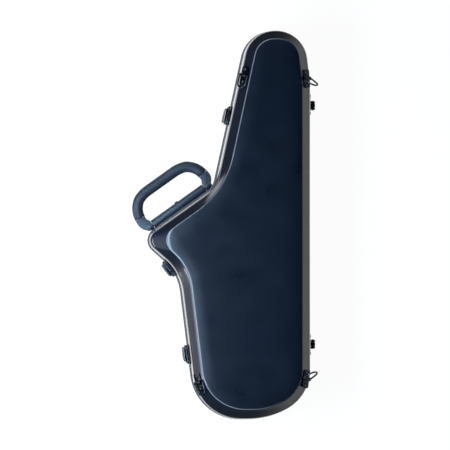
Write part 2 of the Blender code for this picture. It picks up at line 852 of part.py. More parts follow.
def handle_place():
    """A frame on the handle's axis: X along the slanted shoulder, Y outwards."""
    end, start = rim_corners[2:4]
    along = (end - start).normalized()
    outward = left_of(along).to_3d()
    centre = start.lerp(end, 1 - handle_place_share).to_3d() + outward * handle_stand
    return axes_frame(centre + up * (base_depth - handle_drop), along.to_3d(), outward, up)


def make_handle_mount(place, material):
    half = mount_half_length
    mount = prism("handle_mount", circle(mount_radius, round_sides), -half, half, "yz", material, place)
    wall = -handle_stand - rim_overhang + seat_gap
    top = mount_foot_height / 2
    low = top - mount_foot_height
    foot_slope = wall_draft * mount_foot_height / (base_depth - chamfer_rise - shoulder_rise)
    inner = mount_rim_clearance - handle_stand
    foot = [(wall, top), (wall - foot_slope, low), (wall + mount_foot_toe, low)]
    foot += [(mount_radius / 2, -mount_radius / 2), (0, 0), (inner, 0), (inner, top)]
    half_foot = mount_foot_length / 2
    combine(mount, prism("handle_mount_foot", foot, -half_foot, half_foot, "yz", frame=place), "UNION")
    button = circle(mount_button_radius, small_sides)
    button_top = mount_radius + mount_button_height
    tool = prism("handle_mount_button", button, mount_radius / 2, button_top, "xz", frame=place)
    combine(mount, tool, "UNION")
    bore = circle(handle_pin_radius + pin_clearance, round_sides)
    for word, end in (("near", -1), ("far", 1)):
        low, high = sorted((end * (half - handle_pin_depth), end * (half + overrun)))
        combine(mount, prism(f"handle_mount_{word}_bore", bore, low, high, "yz", frame=place), "DIFFERENCE")
    return mount


def handle_path():
    half = [Vector((x * handle_half_length, y * handle_reach, 0)) for x, y in handle_path_shares]
    points = [Vector((-p.x, p.y, 0)) for p in half[:0:-1]] + half
    return smooth_path(points, 2)


def grip_start(path):
    """The number of the path's point where the grip begins."""
    return next(i for i, p in enumerate(path) if p.y < arm_reach + seat_gap and i > len(path) / 2) - 1


def arm_outline(inner, outer, path):
    """One arm in plan, from the pivot up to the slanted end of the grip."""
    last = grip_start(path)
    end = path[last].xy
    along = (path[last - 1] - path[last + 1]).xy.normalized()
    across = left_of(along)
    top = end - along * seat_gap
    sides = {}
    for word, shares in (("outer", arm_outer_shares), ("inner", arm_inner_shares)):
        sides[word] = [(x * handle_half_length, y * handle_reach) for x, y in shares]
    head_clear = handle_pin_head_radius + 2 * seat_gap
    outline = [(inner, 0), (outer, 0), (outer, head_clear)] + sides["outer"]
    outline.append(tuple(top - across * arm_half_width))
    return outline + [tuple(top + across * arm_half_width)] + sides["inner"] + [(inner, arm_root)]


def make_handle_frame(place, material):
    """A core along the grip, with an arm and a round cheek at each end of the mount."""
    path = handle_path()
    frame = skin("handle_frame", tube_loops(path, core_radius, small_sides, up), material, place)
    inner = mount_half_length + handle_side_gap
    levels = [inner] + [inner + level for level in cheek_levels]
    arm = arm_outline(inner, levels[-1], path)
    hole = circle(handle_pin_radius + pin_clearance, round_sides)
    for word, side in (("near", -1), ("far", 1)):
        sided = place @ Matrix.Rotation(0 if side > 0 else math.pi, 4, "Z")
        combine(frame, turned(f"handle_frame_{word}_cheek", levels, cheek_radii, None, sided), "UNION")
        plan = [(side * x, y) for x, y in arm]
        tool = prism(f"handle_frame_{word}_arm", plan, -cheek_height / 2, cheek_height / 2, "xy", frame=place)
        combine(frame, tool, "UNION")
        low, high = inner - overrun, levels[-1] + overrun
        combine(frame, prism(f"handle_frame_{word}_bore", hole, low, high, "yz", frame=sided), "DIFFERENCE")
    return frame


def make_handle_grip(place, material):
    path = handle_path()
    last = grip_start(path)
    path = path[len(path) - 1 - last:last + 1]
    outer = tube_loops(path, grip_radius, round_sides, up)
    inner = tube_loops(path, core_radius + grip_running_gap, round_sides, up)
    for ends, middle in ((0, path[0]), (-1, path[-1])):
        outer[ends] = [middle + (point - middle) * grip_end_share for point in outer[ends]]
    return skin("handle_grip", outer + inner[::-1], material, place, joined_ends=True)


def make_handle_pins(place, metal):
    pins = []
    start = mount_half_length - handle_pin_depth + seat_gap
    head = mount_half_length + handle_side_gap + cheek_levels[-1] + seat_gap
    for word, side in (("left", -1), ("right", 1)):
        frame = place @ Matrix.Rotation(0 if side > 0 else math.pi, 4, "Z")
        levels = (start, head, head + handle_pin_head)
        radii = (handle_pin_radius, handle_pin_head_radius)
        pins.append(turned(f"handle_pin_{word}", levels, radii, metal, frame))
    return pins


def build():
    for old in list(bpy.data.objects):
        bpy.data.objects.remove(old, do_unlink=True)
    shell = make_material("moulded_abs_shell", "1c252d", 0.30)
    edge = make_material("edge_profile", "0b0d10", 0.35)
    seal = make_material("sponge_rubber_seal", "15171a", 0.85)
    plush = make_material("plush_on_foam", "14161c", 0.95)
    black_metal = make_material("black_plated_steel", "1b1e22", 0.35, 0.8)
    bright_black = make_material("polished_black_steel", "2b3036", 0.22, 0.9)
    handle_plastic = make_material("moulded_handle_plastic", "2d3a47", 0.50)
    grip_rubber = make_material("soft_grip_rubber", "27323d", 0.60)

    make_base_shell(shell)
    make_base_cradle(plush)
    lid_shell = make_lid_shell(shell)
    lid_padding = make_lid_padding(plush)
    base_rim, lid_rim, gasket = make_rims(edge, seal)
    on_lid = [lid_shell, lid_padding, lid_rim, gasket]

    for name, y_share in hinge_y_shares:
        lid_leaf, _, _, hinge_point = make_hinge(name, y_share, black_metal)
        on_lid.append(lid_leaf)

    for number, y_share in enumerate(latch_y_shares, 1):
        on_lid.append(make_latch(number, y_share, bright_black, black_metal)[0])

    rings = []
    for name, side, y_share, rest_angle in ring_fitting_shares:
        fitting = make_ring_fitting(name, side, y_share, rest_angle, bright_black, black_metal)
        bracket, ring, screws, holes = fitting
        for hole in holes:
            combine(lid_shell, hole, "DIFFERENCE")
        on_lid += [bracket] + screws + holes
        rings.append(ring)

    place = handle_place()
    make_handle_mount(place, handle_plastic)
    make_handle_pins(place, black_metal)
    swinging = [make_handle_frame(place, handle_plastic), make_handle_grip(place, grip_rubber)]
    carry(swinging, make_axis("handle_axis", place))

    hinge_axis = Matrix.Translation((hinge_point.x, 0, base_depth))
    carry(on_lid + rings, make_axis("lid_axis", hinge_axis))


build()
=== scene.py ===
import json
import math

import bmesh
import bpy
from mathutils import Matrix, Vector


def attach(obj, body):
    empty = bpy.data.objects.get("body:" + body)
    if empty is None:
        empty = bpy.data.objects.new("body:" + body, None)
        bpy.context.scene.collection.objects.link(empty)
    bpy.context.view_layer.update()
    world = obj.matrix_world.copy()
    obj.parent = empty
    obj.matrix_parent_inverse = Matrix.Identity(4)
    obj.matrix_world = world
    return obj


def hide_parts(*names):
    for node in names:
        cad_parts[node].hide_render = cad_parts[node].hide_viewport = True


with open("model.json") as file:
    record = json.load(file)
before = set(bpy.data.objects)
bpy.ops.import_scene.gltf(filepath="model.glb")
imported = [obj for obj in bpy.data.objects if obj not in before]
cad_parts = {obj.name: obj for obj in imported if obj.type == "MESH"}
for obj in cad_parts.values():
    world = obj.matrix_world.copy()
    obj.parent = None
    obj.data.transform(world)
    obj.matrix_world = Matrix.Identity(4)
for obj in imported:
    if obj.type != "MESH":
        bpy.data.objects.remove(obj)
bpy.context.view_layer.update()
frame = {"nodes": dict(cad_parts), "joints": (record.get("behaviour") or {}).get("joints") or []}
joints = {joint["name"]: joint for joint in frame["joints"]}
mm = 0.001
weldGap = 0.002 * mm
poleRadius = 0.02 * mm    # radius of the small face that closes a turned piece
runGap = 0.15 * mm        # between a pin or wire and its bore
spare = 1 * mm            # by which a cutter stands over what it cuts
softEdge = 0.3 * mm       # rounding of small pressed parts
up = Vector((0, 0, 1))
print("frame loaded:", len(frame["nodes"]), "nodes")


# Small tools.

def clearSelection():
    if bpy.context.object and bpy.context.object.mode != "OBJECT":
        bpy.ops.object.mode_set(mode="OBJECT")
    bpy.ops.object.select_all(action="DESELECT")


def choose(*pieces):
    clearSelection()
    for piece in pieces:
        piece.select_set(True)
    bpy.context.view_layer.objects.active = pieces[0]


def applyAll(piece):
    choose(piece)
    for modifier in list(piece.modifiers):
        bpy.ops.object.modifier_apply(modifier=modifier.name)


def roundEdges(piece, width, segments=3, angle=35):
    bevel = piece.modifiers.new("roundEdges", "BEVEL")
    bevel.width = width
    bevel.segments = segments
    bevel.limit_method = "ANGLE"
    bevel.angle_limit = math.radians(angle)
    bevel.miter_outer = "MITER_ARC"
    applyAll(piece)


def discard(*pieces):
    for piece in pieces:
        bpy.data.objects.remove(piece, do_unlink=True)


# Unites, trims or cuts a piece by another, which is used up.
def combine(piece, operation, other):
    step = piece.modifiers.new("combine", "BOOLEAN")
    step.operation, step.object, step.solver = operation, other, "EXACT"
    applyAll(piece)
    discard(other)


def cutAway(piece, cutter):
    combine(piece, "DIFFERENCE", cutter)


def joined(name, *pieces):
    choose(*pieces)
    if len(pieces) > 1:
        bpy.ops.object.join()
    pieces[0].name = name
    return pieces[0]


def newObject(name, data):
    thing = bpy.data.objects.new(name, data)
    bpy.context.scene.collection.objects.link(thing)
    return thing


def copyOf(piece, name):
    return newObject(name, piece.data.copy())


# base_leaf becomes BaseLeaf
def nameTail(words):
    return words.title().replace("_", "")


# Merges points that lie together, closes holes where wanted and turns the faces outwards.
def weld(piece, distance, fill=False):
    choose(piece)
    bpy.ops.object.mode_set(mode="EDIT")
    bpy.ops.mesh.select_all(action="SELECT")
    bpy.ops.mesh.remove_doubles(threshold=distance)
    if fill:
        bpy.ops.mesh.fill_holes(sides=0)
        bpy.ops.mesh.select_all(action="SELECT")
    bpy.ops.mesh.normals_make_consistent(inside=False)
    bpy.ops.object.mode_set(mode="OBJECT")


# A circle primitive whose points go to the first loop, extruded from loop to loop.
def loopSkin(name, loops, ring=False):
    clearSelection()
    bpy.ops.mesh.primitive_circle_add(vertices=len(loops[0]), radius=1)
    piece = bpy.context.object
    piece.name = name
    bpy.ops.object.mode_set(mode="EDIT")
    bpy.ops.mesh.select_all(action="SELECT")
    shape = bmesh.from_edit_mesh(piece.data)
    station = shape.verts.layers.int.new("station")
    shape.verts.ensure_lookup_table()
    for i, vert in enumerate(shape.verts):
        vert[station] = i
        vert.co = loops[0][i]
    bmesh.update_edit_mesh(piece.data)
    for loop in list(loops[1:]) + ([loops[0]] if ring else []):
        bpy.ops.mesh.extrude_edges_move()
        shape = bmesh.from_edit_mesh(piece.data)
        station = shape.verts.layers.int["station"]
        for vert in shape.verts:
            if vert.select:
                vert.co = loop[vert[station]]
        bmesh.update_edit_mesh(piece.data)
    weld(piece, weldGap, fill=not ring)
    piece.data.attributes.remove(piece.data.attributes["station"])
    return piece


def spread(a, b, c, plane):
    return Vector({"xy": (a, b, c), "yz": (c, a, b), "xz": (a, c, b)}[plane])


def prismPiece(name, outline, low, high, plane="xy"):
    return loopSkin(name, [[spread(a, b, level, plane) for a, b in outline] for level in (low, high)])


# The profile of a rod with broken edges.
def softRod(low, high, radius, soft):
    return [(low, radius - soft), (low + soft, radius), (high - soft, radius), (high, radius - soft)]


# A round piece from pairs of place along its axis and radius; the axis is the plane's own normal.
def turnedPiece(name, profile, sides=32, plane="yz"):
    loops = []
    for level, radius in profile:
        ring = circlePoints(max(radius, poleRadius), sides)
        loops.append([spread(a, b, level, plane) for a, b in ring])
    return loopSkin(name, loops)


def tubePiece(name, points, radius, closed=False, sides=6):
    curve = bpy.data.curves.new(name, "CURVE")
    curve.dimensions = "3D"
    curve.bevel_depth = radius
    curve.bevel_resolution = sides
    curve.use_fill_caps = True
    line = curve.splines.new("POLY")
    line.points.add(len(points) - 1)
    for spot, point in zip(line.points, points):
        spot.co = (*point, 1)
    line.use_cyclic_u = closed
    curve.twist_mode = "MINIMUM"
    choose(newObject(name, curve))
    bpy.ops.object.convert(target="MESH")
    piece = bpy.context.object
    weld(piece, weldGap)
    return piece


def circlePoints(radius, count, centre=(0, 0)):
    turns = [2 * math.pi * (i + 0.5) / count for i in range(count)]
    return [(centre[0] + radius * math.cos(t), centre[1] + radius * math.sin(t)) for t in turns]


def arcPoints(radius, centre, start, end, steps):
    turns = [math.radians(start + (end - start) * i / steps) for i in range(steps + 1)]
    return [(centre[0] + radius * math.cos(t), centre[1] + radius * math.sin(t)) for t in turns]


def roundedBox(low, high, radius, steps=6):
    points = []
    left, right, bottom, top = low[0] + radius, high[0] - radius, low[1] + radius, high[1] - radius
    for turn, centre in enumerate(((right, top), (left, top), (left, bottom), (right, bottom))):
        points += arcPoints(radius, centre, 90 * turn, 90 * turn + 90, steps)
    return points


def smoothPath(points, steps):
    path = []
    for i in range(len(points) - 1):
        a, b = points[max(i - 1, 0)], points[i]
        c, d = points[i + 1], points[min(i + 2, len(points) - 1)]
        for k in range(steps):
            t = k / steps
            bend = (c - a) * t + (2 * a - 5 * b + 4 * c - d) * t ** 2 + (3 * b - a - 3 * c + d) * t ** 3
            path.append(b + bend / 2)
    return path + [points[-1]]


# Puts a finished piece in its place, gives it its finish and body, and hides the nodes it stands for.
def settle(piece, place, body, slotName, finish, *nodes, smoothAngle=40):
    piece.data.transform(place)
    piece.matrix_world = Matrix.Identity(4)
    piece.data.materials.clear()
    piece.data.materials.append(materials[finish])
    choose(piece)
    bpy.ops.object.shade_smooth_by_angle(angle=math.radians(smoothAngle))
    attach(piece, body)
    if nodes:
        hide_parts(*nodes)
    return piece


# Materials.

def linearColour(code):
    channels = [int(code[i:i + 2], 16) / 255 for i in (0, 2, 4)]
    return [c / 12.92 if c <= 0.04045 else ((c + 0.055) / 1.055) ** 2.4 for c in channels] + [1]


def addNode(tree, kind, settings=None, links=None):
    node = tree.nodes.new("ShaderNode" + kind)
    for key, value in (settings or {}).items():
        if hasattr(node, str(key)):
            setattr(node, key, value)
        else:
            node.inputs[key].default_value = value
    for key, source in (links or {}).items():
        tree.links.new(source, node.inputs[key])
    return node


# the noise values at which the two tones and the two roughnesses are reached
toneSpan, rubSpan = (0.35, 0.65), (0.3, 0.7)


# Colour between two tones by a soft pattern, roughness between two values by another, bump from a fine grain.
def finishMaterial(name, look):
    material = bpy.data.materials.new(name)
    material.use_nodes = True
    tree = material.node_tree
    shader = tree.nodes["Principled BSDF"]
    for key, value in look["constants"].items():
        shader.inputs[key].default_value = value
    spot = addNode(tree, "TexCoord").outputs["Object"]
    tone = addNode(tree, "TexNoise", {"Scale": 1 / look["toneSize"], "Detail": 3}, {"Vector": spot})
    tint = addNode(tree, "ValToRGB", {}, {"Fac": tone.outputs["Fac"]})
    for stop, level, shade in zip(tint.color_ramp.elements, toneSpan, ("dark", "light")):
        stop.position, stop.color = level, linearColour(look[shade])
    tree.links.new(tint.outputs["Color"], shader.inputs["Base Color"])
    rub = addNode(tree, "TexNoise", {"Scale": 1 / look["rubSize"], "Detail": 4}, {"Vector": spot})
    smoothest, roughest = look["roughness"]
    rough = addNode(tree, "MapRange", {"From Min": rubSpan[0], "From Max": rubSpan[1],
                    "To Min": smoothest, "To Max": roughest}, {"Value": rub.outputs["Fac"]})
    tree.links.new(rough.outputs["Result"], shader.inputs["Roughness"])
    weave = {"Scale": 1 / look["grainSize"], "Detail": look.get("grainDetail", 2)}
    grain = addNode(tree, "TexNoise", weave, {"Vector": spot})
    relief = {"Strength": look["grainStrength"], "Distance": look["grainHeight"]}
    bump = addNode(tree, "Bump", relief, {"Height": grain.outputs["Fac"]})
    tree.links.new(bump.outputs["Normal"], shader.inputs["Normal"])
    return material


finishes = {
    # Vacuum-formed ABS under a clear acrylic cap: deep blue-black, soft highlights below, crisp ones on top.
    "satinAbsShell": {
        "constants": {"IOR": 1.5, "Coat Weight": 0.9, "Coat Roughness": 0.06, "Coat IOR": 1.49},
        "dark": "091320", "light": "0b1725", "toneSize": 160 * mm,
        "roughness": (0.27, 0.33), "rubSize": 35 * mm,
        "grainSize": 0.9 * mm, "grainStrength": 0.25, "grainHeight": 0.02 * mm,
    },
    # Extruded rigid PVC edge: near black, a little duller than the shell, drawn along its length.
    "extrudedPvcEdge": {
        "constants": {"IOR": 1.52},
        "dark": "07090b", "light": "0b0d10", "toneSize": 50 * mm,
        "roughness": (0.32, 0.42), "rubSize": 12 * mm,
        "grainSize": 1.5 * mm, "grainStrength": 0.15, "grainHeight": 0.02 * mm,
    },
    # Glass-filled nylon, injection moulded and spark-eroded matt: slate blue-grey.
    "mouldedNylonHandle": {
        "constants": {"IOR": 1.53},
        "dark": "2a3641", "light": "303d49", "toneSize": 20 * mm,
        "roughness": (0.42, 0.52), "rubSize": 8 * mm,
        "grainSize": 0.6 * mm, "grainStrength": 0.3, "grainHeight": 0.03 * mm,
    },
    # Thermoplastic elastomer overmould: softer and duller than the nylon, with a fine 0.7 mm matt texture.
    "overmouldedElastomerGrip": {
        "constants": {"IOR": 1.5, "Sheen Weight": 0.08, "Sheen Roughness": 0.5},
        "dark": "202a34", "light": "25303b", "toneSize": 15 * mm,
        "roughness": (0.48, 0.60), "rubSize": 6 * mm,
        "grainSize": 0.7 * mm, "grainStrength": 0.45, "grainHeight": 0.05 * mm,
    },
    # Pressed steel, barrelled and black-nickel plated: dark mirror with faint tumbling marks.
    "blackNickelPressing": {
        "constants": {"Metallic": 1.0},
        "dark": "24272b", "light": "30343a", "toneSize": 6 * mm,
        "roughness": (0.20, 0.34), "rubSize": 3 * mm,
        "grainSize": 1.2 * mm, "grainStrength": 0.12, "grainHeight": 0.02 * mm,
    },
    # Steel wire and turned pins, black-nickel plated: brighter, with rubbed spots where metal bears on metal.
    "blackNickelWire": {
        "constants": {"Metallic": 1.0},
        "dark": "2d3136", "light": "474d54", "toneSize": 4 * mm,
        "roughness": (0.16, 0.28), "rubSize": 2 * mm,
        "grainSize": 1 * mm, "grainStrength": 0.10, "grainHeight": 0.02 * mm,
    },
    # EPDM sponge seal: dead matt, open cells of about 0.5 mm.
    "spongeSeal": {
        "constants": {"IOR": 1.45},
        "dark": "0e0f11", "light": "16181a", "toneSize": 4 * mm,
        "roughness": (0.85, 0.95), "rubSize": 2 * mm,
        "grainSize": 0.5 * mm, "grainStrength": 0.6, "grainHeight": 0.1 * mm,
    },
    # Short-pile plush bonded to moulded foam: blue-black, sheen at the turned edges, pile in 1.2 mm tufts.
    "plushOnFoam": {
        "constants": {"IOR": 1.4, "Sheen Weight": 0.55, "Sheen Roughness": 0.4,
                      "Sheen Tint": (0.35, 0.38, 0.45, 1)},
        "dark": "0c0e14", "light": "191c25", "toneSize": 12 * mm,
        "roughness": (0.88, 0.98), "rubSize": 4 * mm,
        "grainSize": 1.2 * mm, "grainStrength": 0.8, "grainHeight": 0.4 * mm, "grainDetail": 6,
    },
}
materials = {name: finishMaterial(name, look) for name, look in finishes.items()}
print("materials made:", len(materials))


# The case's outline.

caseShape = {
    "width": 266.8 * mm, "length": 640 * mm, "parting": 95 * mm, "lidHeight": 84 * mm,
    "bandWidth": 18.5 * mm, "chamferRise": 14.5 * mm, "shoulderRise": 13.5 * mm,
    "overhang": 1.5 * mm, "draft": 1.6 * mm, "wall": 3.5 * mm, "footBlend": 0.15,
    "rimHeight": 7.5 * mm, "seatGap": 0.3 * mm, "smoothSteps": 14, "frameSteps": 4,
    # the panel's crown in the frame and as drawn, and how far in from the crease it rises
    "crown": 4 * mm, "flatCrown": 1.2 * mm, "crownRun": 22 * mm, "crownRows": (5, 8, 11, 14, 17, 20, 22, 23),
    # the wall's swell, then the rounded shoulder: its start on the wall, its middle and its end on the band
    "swell": 0.4 * mm, "shoulderTop": 3 * mm, "shoulderPull": (0.04, 0.2 * mm, 1.2 * mm), "shoulderEnd": 0.08,
    "shoulderSteps": 8, "bandRows": (0.3, 0.6),
    # the rounded crease, from the band onto the panel
    "creaseStart": 0.90, "crease": 2 * mm, "creaseSteps": 6,
    # x and y shares, rim and panel fillets over the width, share of the band's width
    "corners": (
        (0.462, 0.500, 0.205, 0.124, 0.97), (0.1123, 0.500, 0.200, 0.120, 1.00),
        (-0.0978, 0.0980, 0.112, 0.560, 0.895), (-0.5506, -0.0367, 0.0825, 0.098, 1.03),
        (-0.3133, -0.1244, 0.300, 0.333, 0.93), (-0.2030, -0.500, 0.304, 0.270, 1.08),
        (0.2360, -0.500, 0.505, 0.370, 1.015), (0.5030, -0.4408, 0.286, 0.230, 0.98),
        (0.5030, 0.366, 1.120, 1.050, 1.00),
    ),
}


def leftOf(direction):
    return Vector((-direction.y, direction.x))


def filletedLine(corners, radii, steps):
    count = len(corners)
    edges = [corners[(i + 1) % count] - corners[i] for i in range(count)]
    turns = [math.atan2(edges[i - 1].x * edges[i].y - edges[i - 1].y * edges[i].x, edges[i - 1].dot(edges[i]))
             for i in range(count)]
    wanted = [radii[i] * math.tan(abs(turns[i]) / 2) for i in range(count)]
    line = []
    for i in range(count):
        before, after = edges[i - 1], edges[i]
        tangent = min(wanted[i], before.length * wanted[i] / (wanted[i] + wanted[i - 1]),
                      after.length * wanted[i] / (wanted[i] + wanted[(i + 1) % count]))
        start = corners[i] - before.normalized() * tangent
        centre = start + leftOf(before.normalized()) * (tangent / math.tan(turns[i] / 2))
        spoke = start - centre
        line += [centre + Matrix.Rotation(turns[i] * k / steps, 2) @ spoke for k in range(steps + 1)]
    return line


def insetLine(line, distance):
    moved = []
    for i, point in enumerate(line):
        before = leftOf((point - line[i - 1]).normalized())
        after = leftOf((line[(i + 1) % len(line)] - point).normalized())
        middle = (before + after).normalized()
        moved.append(point + middle * distance / middle.dot(after))
    return moved


def caseLines(steps):
    rows = caseShape["corners"]
    width, length = caseShape["width"], caseShape["length"]
    corners = [Vector((row[0] * width, row[1] * length)) for row in rows]
    sides = []
    for i, corner in enumerate(corners):
        direction = (corners[(i + 1) % len(corners)] - corner).normalized()
        sides.append((corner + leftOf(direction) * caseShape["bandWidth"] * rows[i][4], direction))
    panelCorners = []
    for i, (point, direction) in enumerate(sides):
        other, otherDirection = sides[i - 1]
        across = leftOf(direction)
        run = (point - other).dot(across) / otherDirection.dot(across)
        panelCorners.append(other + otherDirection * run)
    return (filletedLine(corners, [row[2] * width for row in rows], steps),
            filletedLine(panelCorners, [row[3] * width for row in rows], steps))


rimLine, panelLine = caseLines(caseShape["smoothSteps"])
coarseRim, coarsePanel = caseLines(caseShape["frameSteps"])      # the frame's facets, to place hardware on


def sectionLoop(row, side):
    blendShare, distance, rise = row
    line = insetLine([a.lerp(b, blendShare) for a, b in zip(rimLine, panelLine)], distance)
    height = caseShape["parting"] + side * rise
    return [Vector((p.x, p.y, height)) for p in line]


def curveRows(a, b, c, steps):
    rows = []
    for k in range(steps + 1):
        t = k / steps
        rows.append(tuple((1 - t) ** 2 * p + 2 * t * (1 - t) * q + t ** 2 * r for p, q, r in zip(a, b, c)))
    return rows


# Heights over the parting line: the band's lower edge, and the wall's upper edge below the shoulder.
def wallLevels(depth):
    foot = depth - caseShape["chamferRise"]
    return foot, foot - caseShape["shoulderRise"]


# Rows of a shell half from its rim over the rounded shoulder, the band and the crease.
def outerRows(depth, crown):
    c = caseShape
    lean = c["overhang"] + c["draft"]
    foot, wallTop = wallLevels(depth)
    band = ((c["footBlend"], lean, foot), (1, 0, depth))

    def along(t):
        return tuple(p + (q - p) * t for p, q in zip(*band))

    def crownAt(run):
        return depth + crown * math.sin(math.pi / 2 * min(run, c["crownRun"]) / c["crownRun"])

    start = c["rimHeight"] + c["seatGap"]
    rows = [(0, c["overhang"], start), (0, lean - c["swell"], (start + wallTop) / 2)]
    blend, out, down = c["shoulderPull"]
    middle = (blend, lean + out, foot - down)
    rows += curveRows((0, lean, wallTop + c["shoulderTop"]), middle, along(c["shoulderEnd"]),
                      c["shoulderSteps"])
    rows += [along(t) for t in c["bandRows"]]
    rolled = (1, c["crease"], crownAt(c["crease"]))
    rows += curveRows(along(c["creaseStart"]), band[1], rolled, c["creaseSteps"])
    return rows + [(1, run * mm, crownAt(run * mm)) for run in c["crownRows"]]


# Rows inside a shell half, from the panel down to the rim.
def innerRows(depth):
    c = caseShape
    lean, wall = c["overhang"] + c["draft"], c["wall"]
    foot, wallTop = wallLevels(depth)
    return [
        (1, wall * 0.35, depth - wall),
        (c["footBlend"], lean + wall * 0.85, foot - wall * 0.45),
        (0.05, lean + wall * 0.95, wallTop + c["shoulderRise"] * 0.55 - wall * 0.25),
        (0, lean + wall, wallTop),
        (0, c["overhang"] + wall, c["rimHeight"] + c["seatGap"]),
    ]


lidCrease = caseShape["lidHeight"] - caseShape["crown"]
lidRows = innerRows(lidCrease) + outerRows(lidCrease, caseShape["flatCrown"])
lidShell = loopSkin("lidShell", [sectionLoop(row, 1) for row in lidRows])
settle(lidShell, Matrix(), "lid", "moulded_shell", "satinAbsShell", "lid_shell", smoothAngle=50)
baseRows = innerRows(caseShape["parting"]) + outerRows(caseShape["parting"], 0)
baseShell = loopSkin("baseShell", [sectionLoop(row, -1) for row in baseRows])
settle(baseShell, Matrix(), "base", "moulded_shell", "satinAbsShell", "base_shell", smoothAngle=50)
print("shells made")


# Edge profiles and their seal.

edgeShape = {"soft": 0.6 * mm, "half": 0.15 * mm, "land": 3.1 * mm, "tongue": 1.6 * mm, "inner": 7.5 * mm,
             "rise": 3 * mm, "depth": 6 * mm, "clear": 0.8 * mm, "flange": 13 * mm, "flangeWidth": 2.2 * mm,
             "line": 3.6 * mm, "lineDepth": 0.5 * mm, "lead": 0.4 * mm,
             "sealRadius": 1 * mm, "sealHeight": 4.5 * mm, "sealSides": 10}


# Rows of an edge profile: decorative line, outer face, mating face with its tongue or groove, inner flange.
def edgeRows(middle):
    e = edgeShape
    top, soft, line, half = caseShape["rimHeight"], e["soft"], e["line"], e["half"]
    inside = e["inner"] - e["flangeWidth"]
    rows = [(0, line + 2 * soft), (e["lineDepth"], line + soft), (e["lineDepth"], line), (0, line - soft)]
    rows += [(0, half + soft), (soft, half)] + middle + [(e["inner"], half), (e["inner"], e["flange"])]
    rows += [(inside, e["flange"]), (inside, top), (soft, top), (0, top - soft)]
    return rows


def tongueAndGroove():
    e = edgeShape
    start, end, low = e["land"], e["land"] + e["tongue"], -e["rise"]
    tongue = [(start, e["half"]), (start, low + e["lead"]), (start + e["lead"], low)]
    tongue += [(end - e["lead"], low), (end, low + e["lead"]), (end, e["half"])]
    start, end = start - e["clear"], end + e["clear"]
    groove = [(start, e["half"]), (start, e["depth"]), (end, e["depth"]), (end, e["half"])]
    return tongue, groove, (start + end) / 2


tongueRows, grooveRows, grooveMiddle = tongueAndGroove()
for name, side, body, rows, node in (
    ("baseEdge", -1, "base", edgeRows(tongueRows), "base_rim"),
    ("lidEdge", 1, "lid", edgeRows(grooveRows), "lid_rim"),
):
    edge = loopSkin(name, [sectionLoop((0, *row), side) for row in rows], ring=True)
    settle(edge, Matrix(), body, "edge_profile", "extrudedPvcEdge", node, smoothAngle=50)
sealMiddle = (grooveMiddle, edgeShape["sealHeight"])
sealRows = circlePoints(edgeShape["sealRadius"], edgeShape["sealSides"], sealMiddle)
lidSeal = loopSkin("lidSeal", [sectionLoop((0, *row), 1) for row in sealRows], ring=True)
settle(lidSeal, Matrix(), "lid", "seal", "spongeSeal", "lid_gasket", smoothAngle=60)
print("edges made")


# Padding: foam forms rounded from the frame's solids.

padShape = {"voxel": 3.6 * mm, "rounds": 10, "push": 0.6, "fill": 0.85}


def foamFrom(node, name):
    pad = copyOf(frame["nodes"][node], name)
    weld(pad, 10 * weldGap)
    remesh = pad.modifiers.new("foam", "REMESH")
    remesh.mode = "VOXEL"
    remesh.voxel_size = padShape["voxel"]
    soften = pad.modifiers.new("soften", "SMOOTH")
    soften.factor = padShape["push"]
    soften.iterations = padShape["rounds"]
    applyAll(pad)
    return pad


for node, name, body in (("base_cradle", "baseCradle", "base"), ("lid_padding", "lidPadding", "lid")):
    pad = foamFrom(node, name)
    settle(pad, Matrix(), body, "plush", "plushOnFoam", node, smoothAngle=180)
print("padding made")


# Places on the case.

def placeOn(line, y, side):
    found = []
    for i, point in enumerate(line):
        following = line[(i + 1) % len(line)]
        if (point.y - y) * (following.y - y) < 0:
            part = (y - point.y) / (following.y - point.y)
            found.append((side * point.lerp(following, part).x, i, part))
    return max(found)[1:]


def axesPlace(origin, xAxis, yAxis, zAxis):
    place = Matrix((xAxis, yAxis, zAxis)).transposed().to_4x4()
    place.translation = origin
    return place


def jointPlace(name):
    joint = joints[name]
    along = Vector(joint["axis"])
    return axesPlace(Vector(joint["pos_m"]), along, up.cross(along), up)


def wallPlace(y, side):
    step, part = placeOn(coarseRim, y, side)
    start, end = coarseRim[step], coarseRim[(step + 1) % len(coarseRim)]
    outward = -leftOf((end - start).normalized()).to_3d()
    spot = start.lerp(end, part).to_3d() + up * caseShape["parting"]
    return axesPlace(spot, outward.cross(up), outward, up)


# The wall beside the edge profile, tilted by its draft: X along it, Y out of it, Z up on both halves.
def wallFace(place, side):
    wallTop = wallLevels(lidCrease if side > 0 else caseShape["parting"])[1]
    tilt = math.atan2(caseShape["draft"], wallTop - caseShape["rimHeight"] - caseShape["seatGap"])
    start = Matrix.Translation((0, -caseShape["overhang"], side * caseShape["rimHeight"]))
    return place @ start @ Matrix.Rotation(side * tilt, 4, "X")


# Rivets and plates.

rivetShape = {"radius": 2.1 * mm, "height": 0.9 * mm, "edge": 4.2 * mm}      # edge: in from the plate's edge


def rivetHead(spot, front):
    r, h = rivetShape["radius"], rivetShape["height"]
    dome = ((-0.5, 1), (0.15, 1), (0.55, 0.86), (0.85, 0.55), (1, 0.15))      # shares of height and radius
    head = turnedPiece("rivet", [(front + level * h, share * r) for level, share in dome], 20, "xz")
    head.data.transform(Matrix.Translation((spot[0], 0, spot[1])))
    return head


def platePiece(name, width, low, high, corner, back, thickness, rivets):
    outline = roundedBox((-width / 2, low), (width / 2, high), corner)
    plate = prismPiece(name, outline, back, back + thickness, "xz")
    roundEdges(plate, thickness * 0.28)
    return joined(name, plate, *[rivetHead(spot, back + thickness) for spot in rivets])


# Hinges.

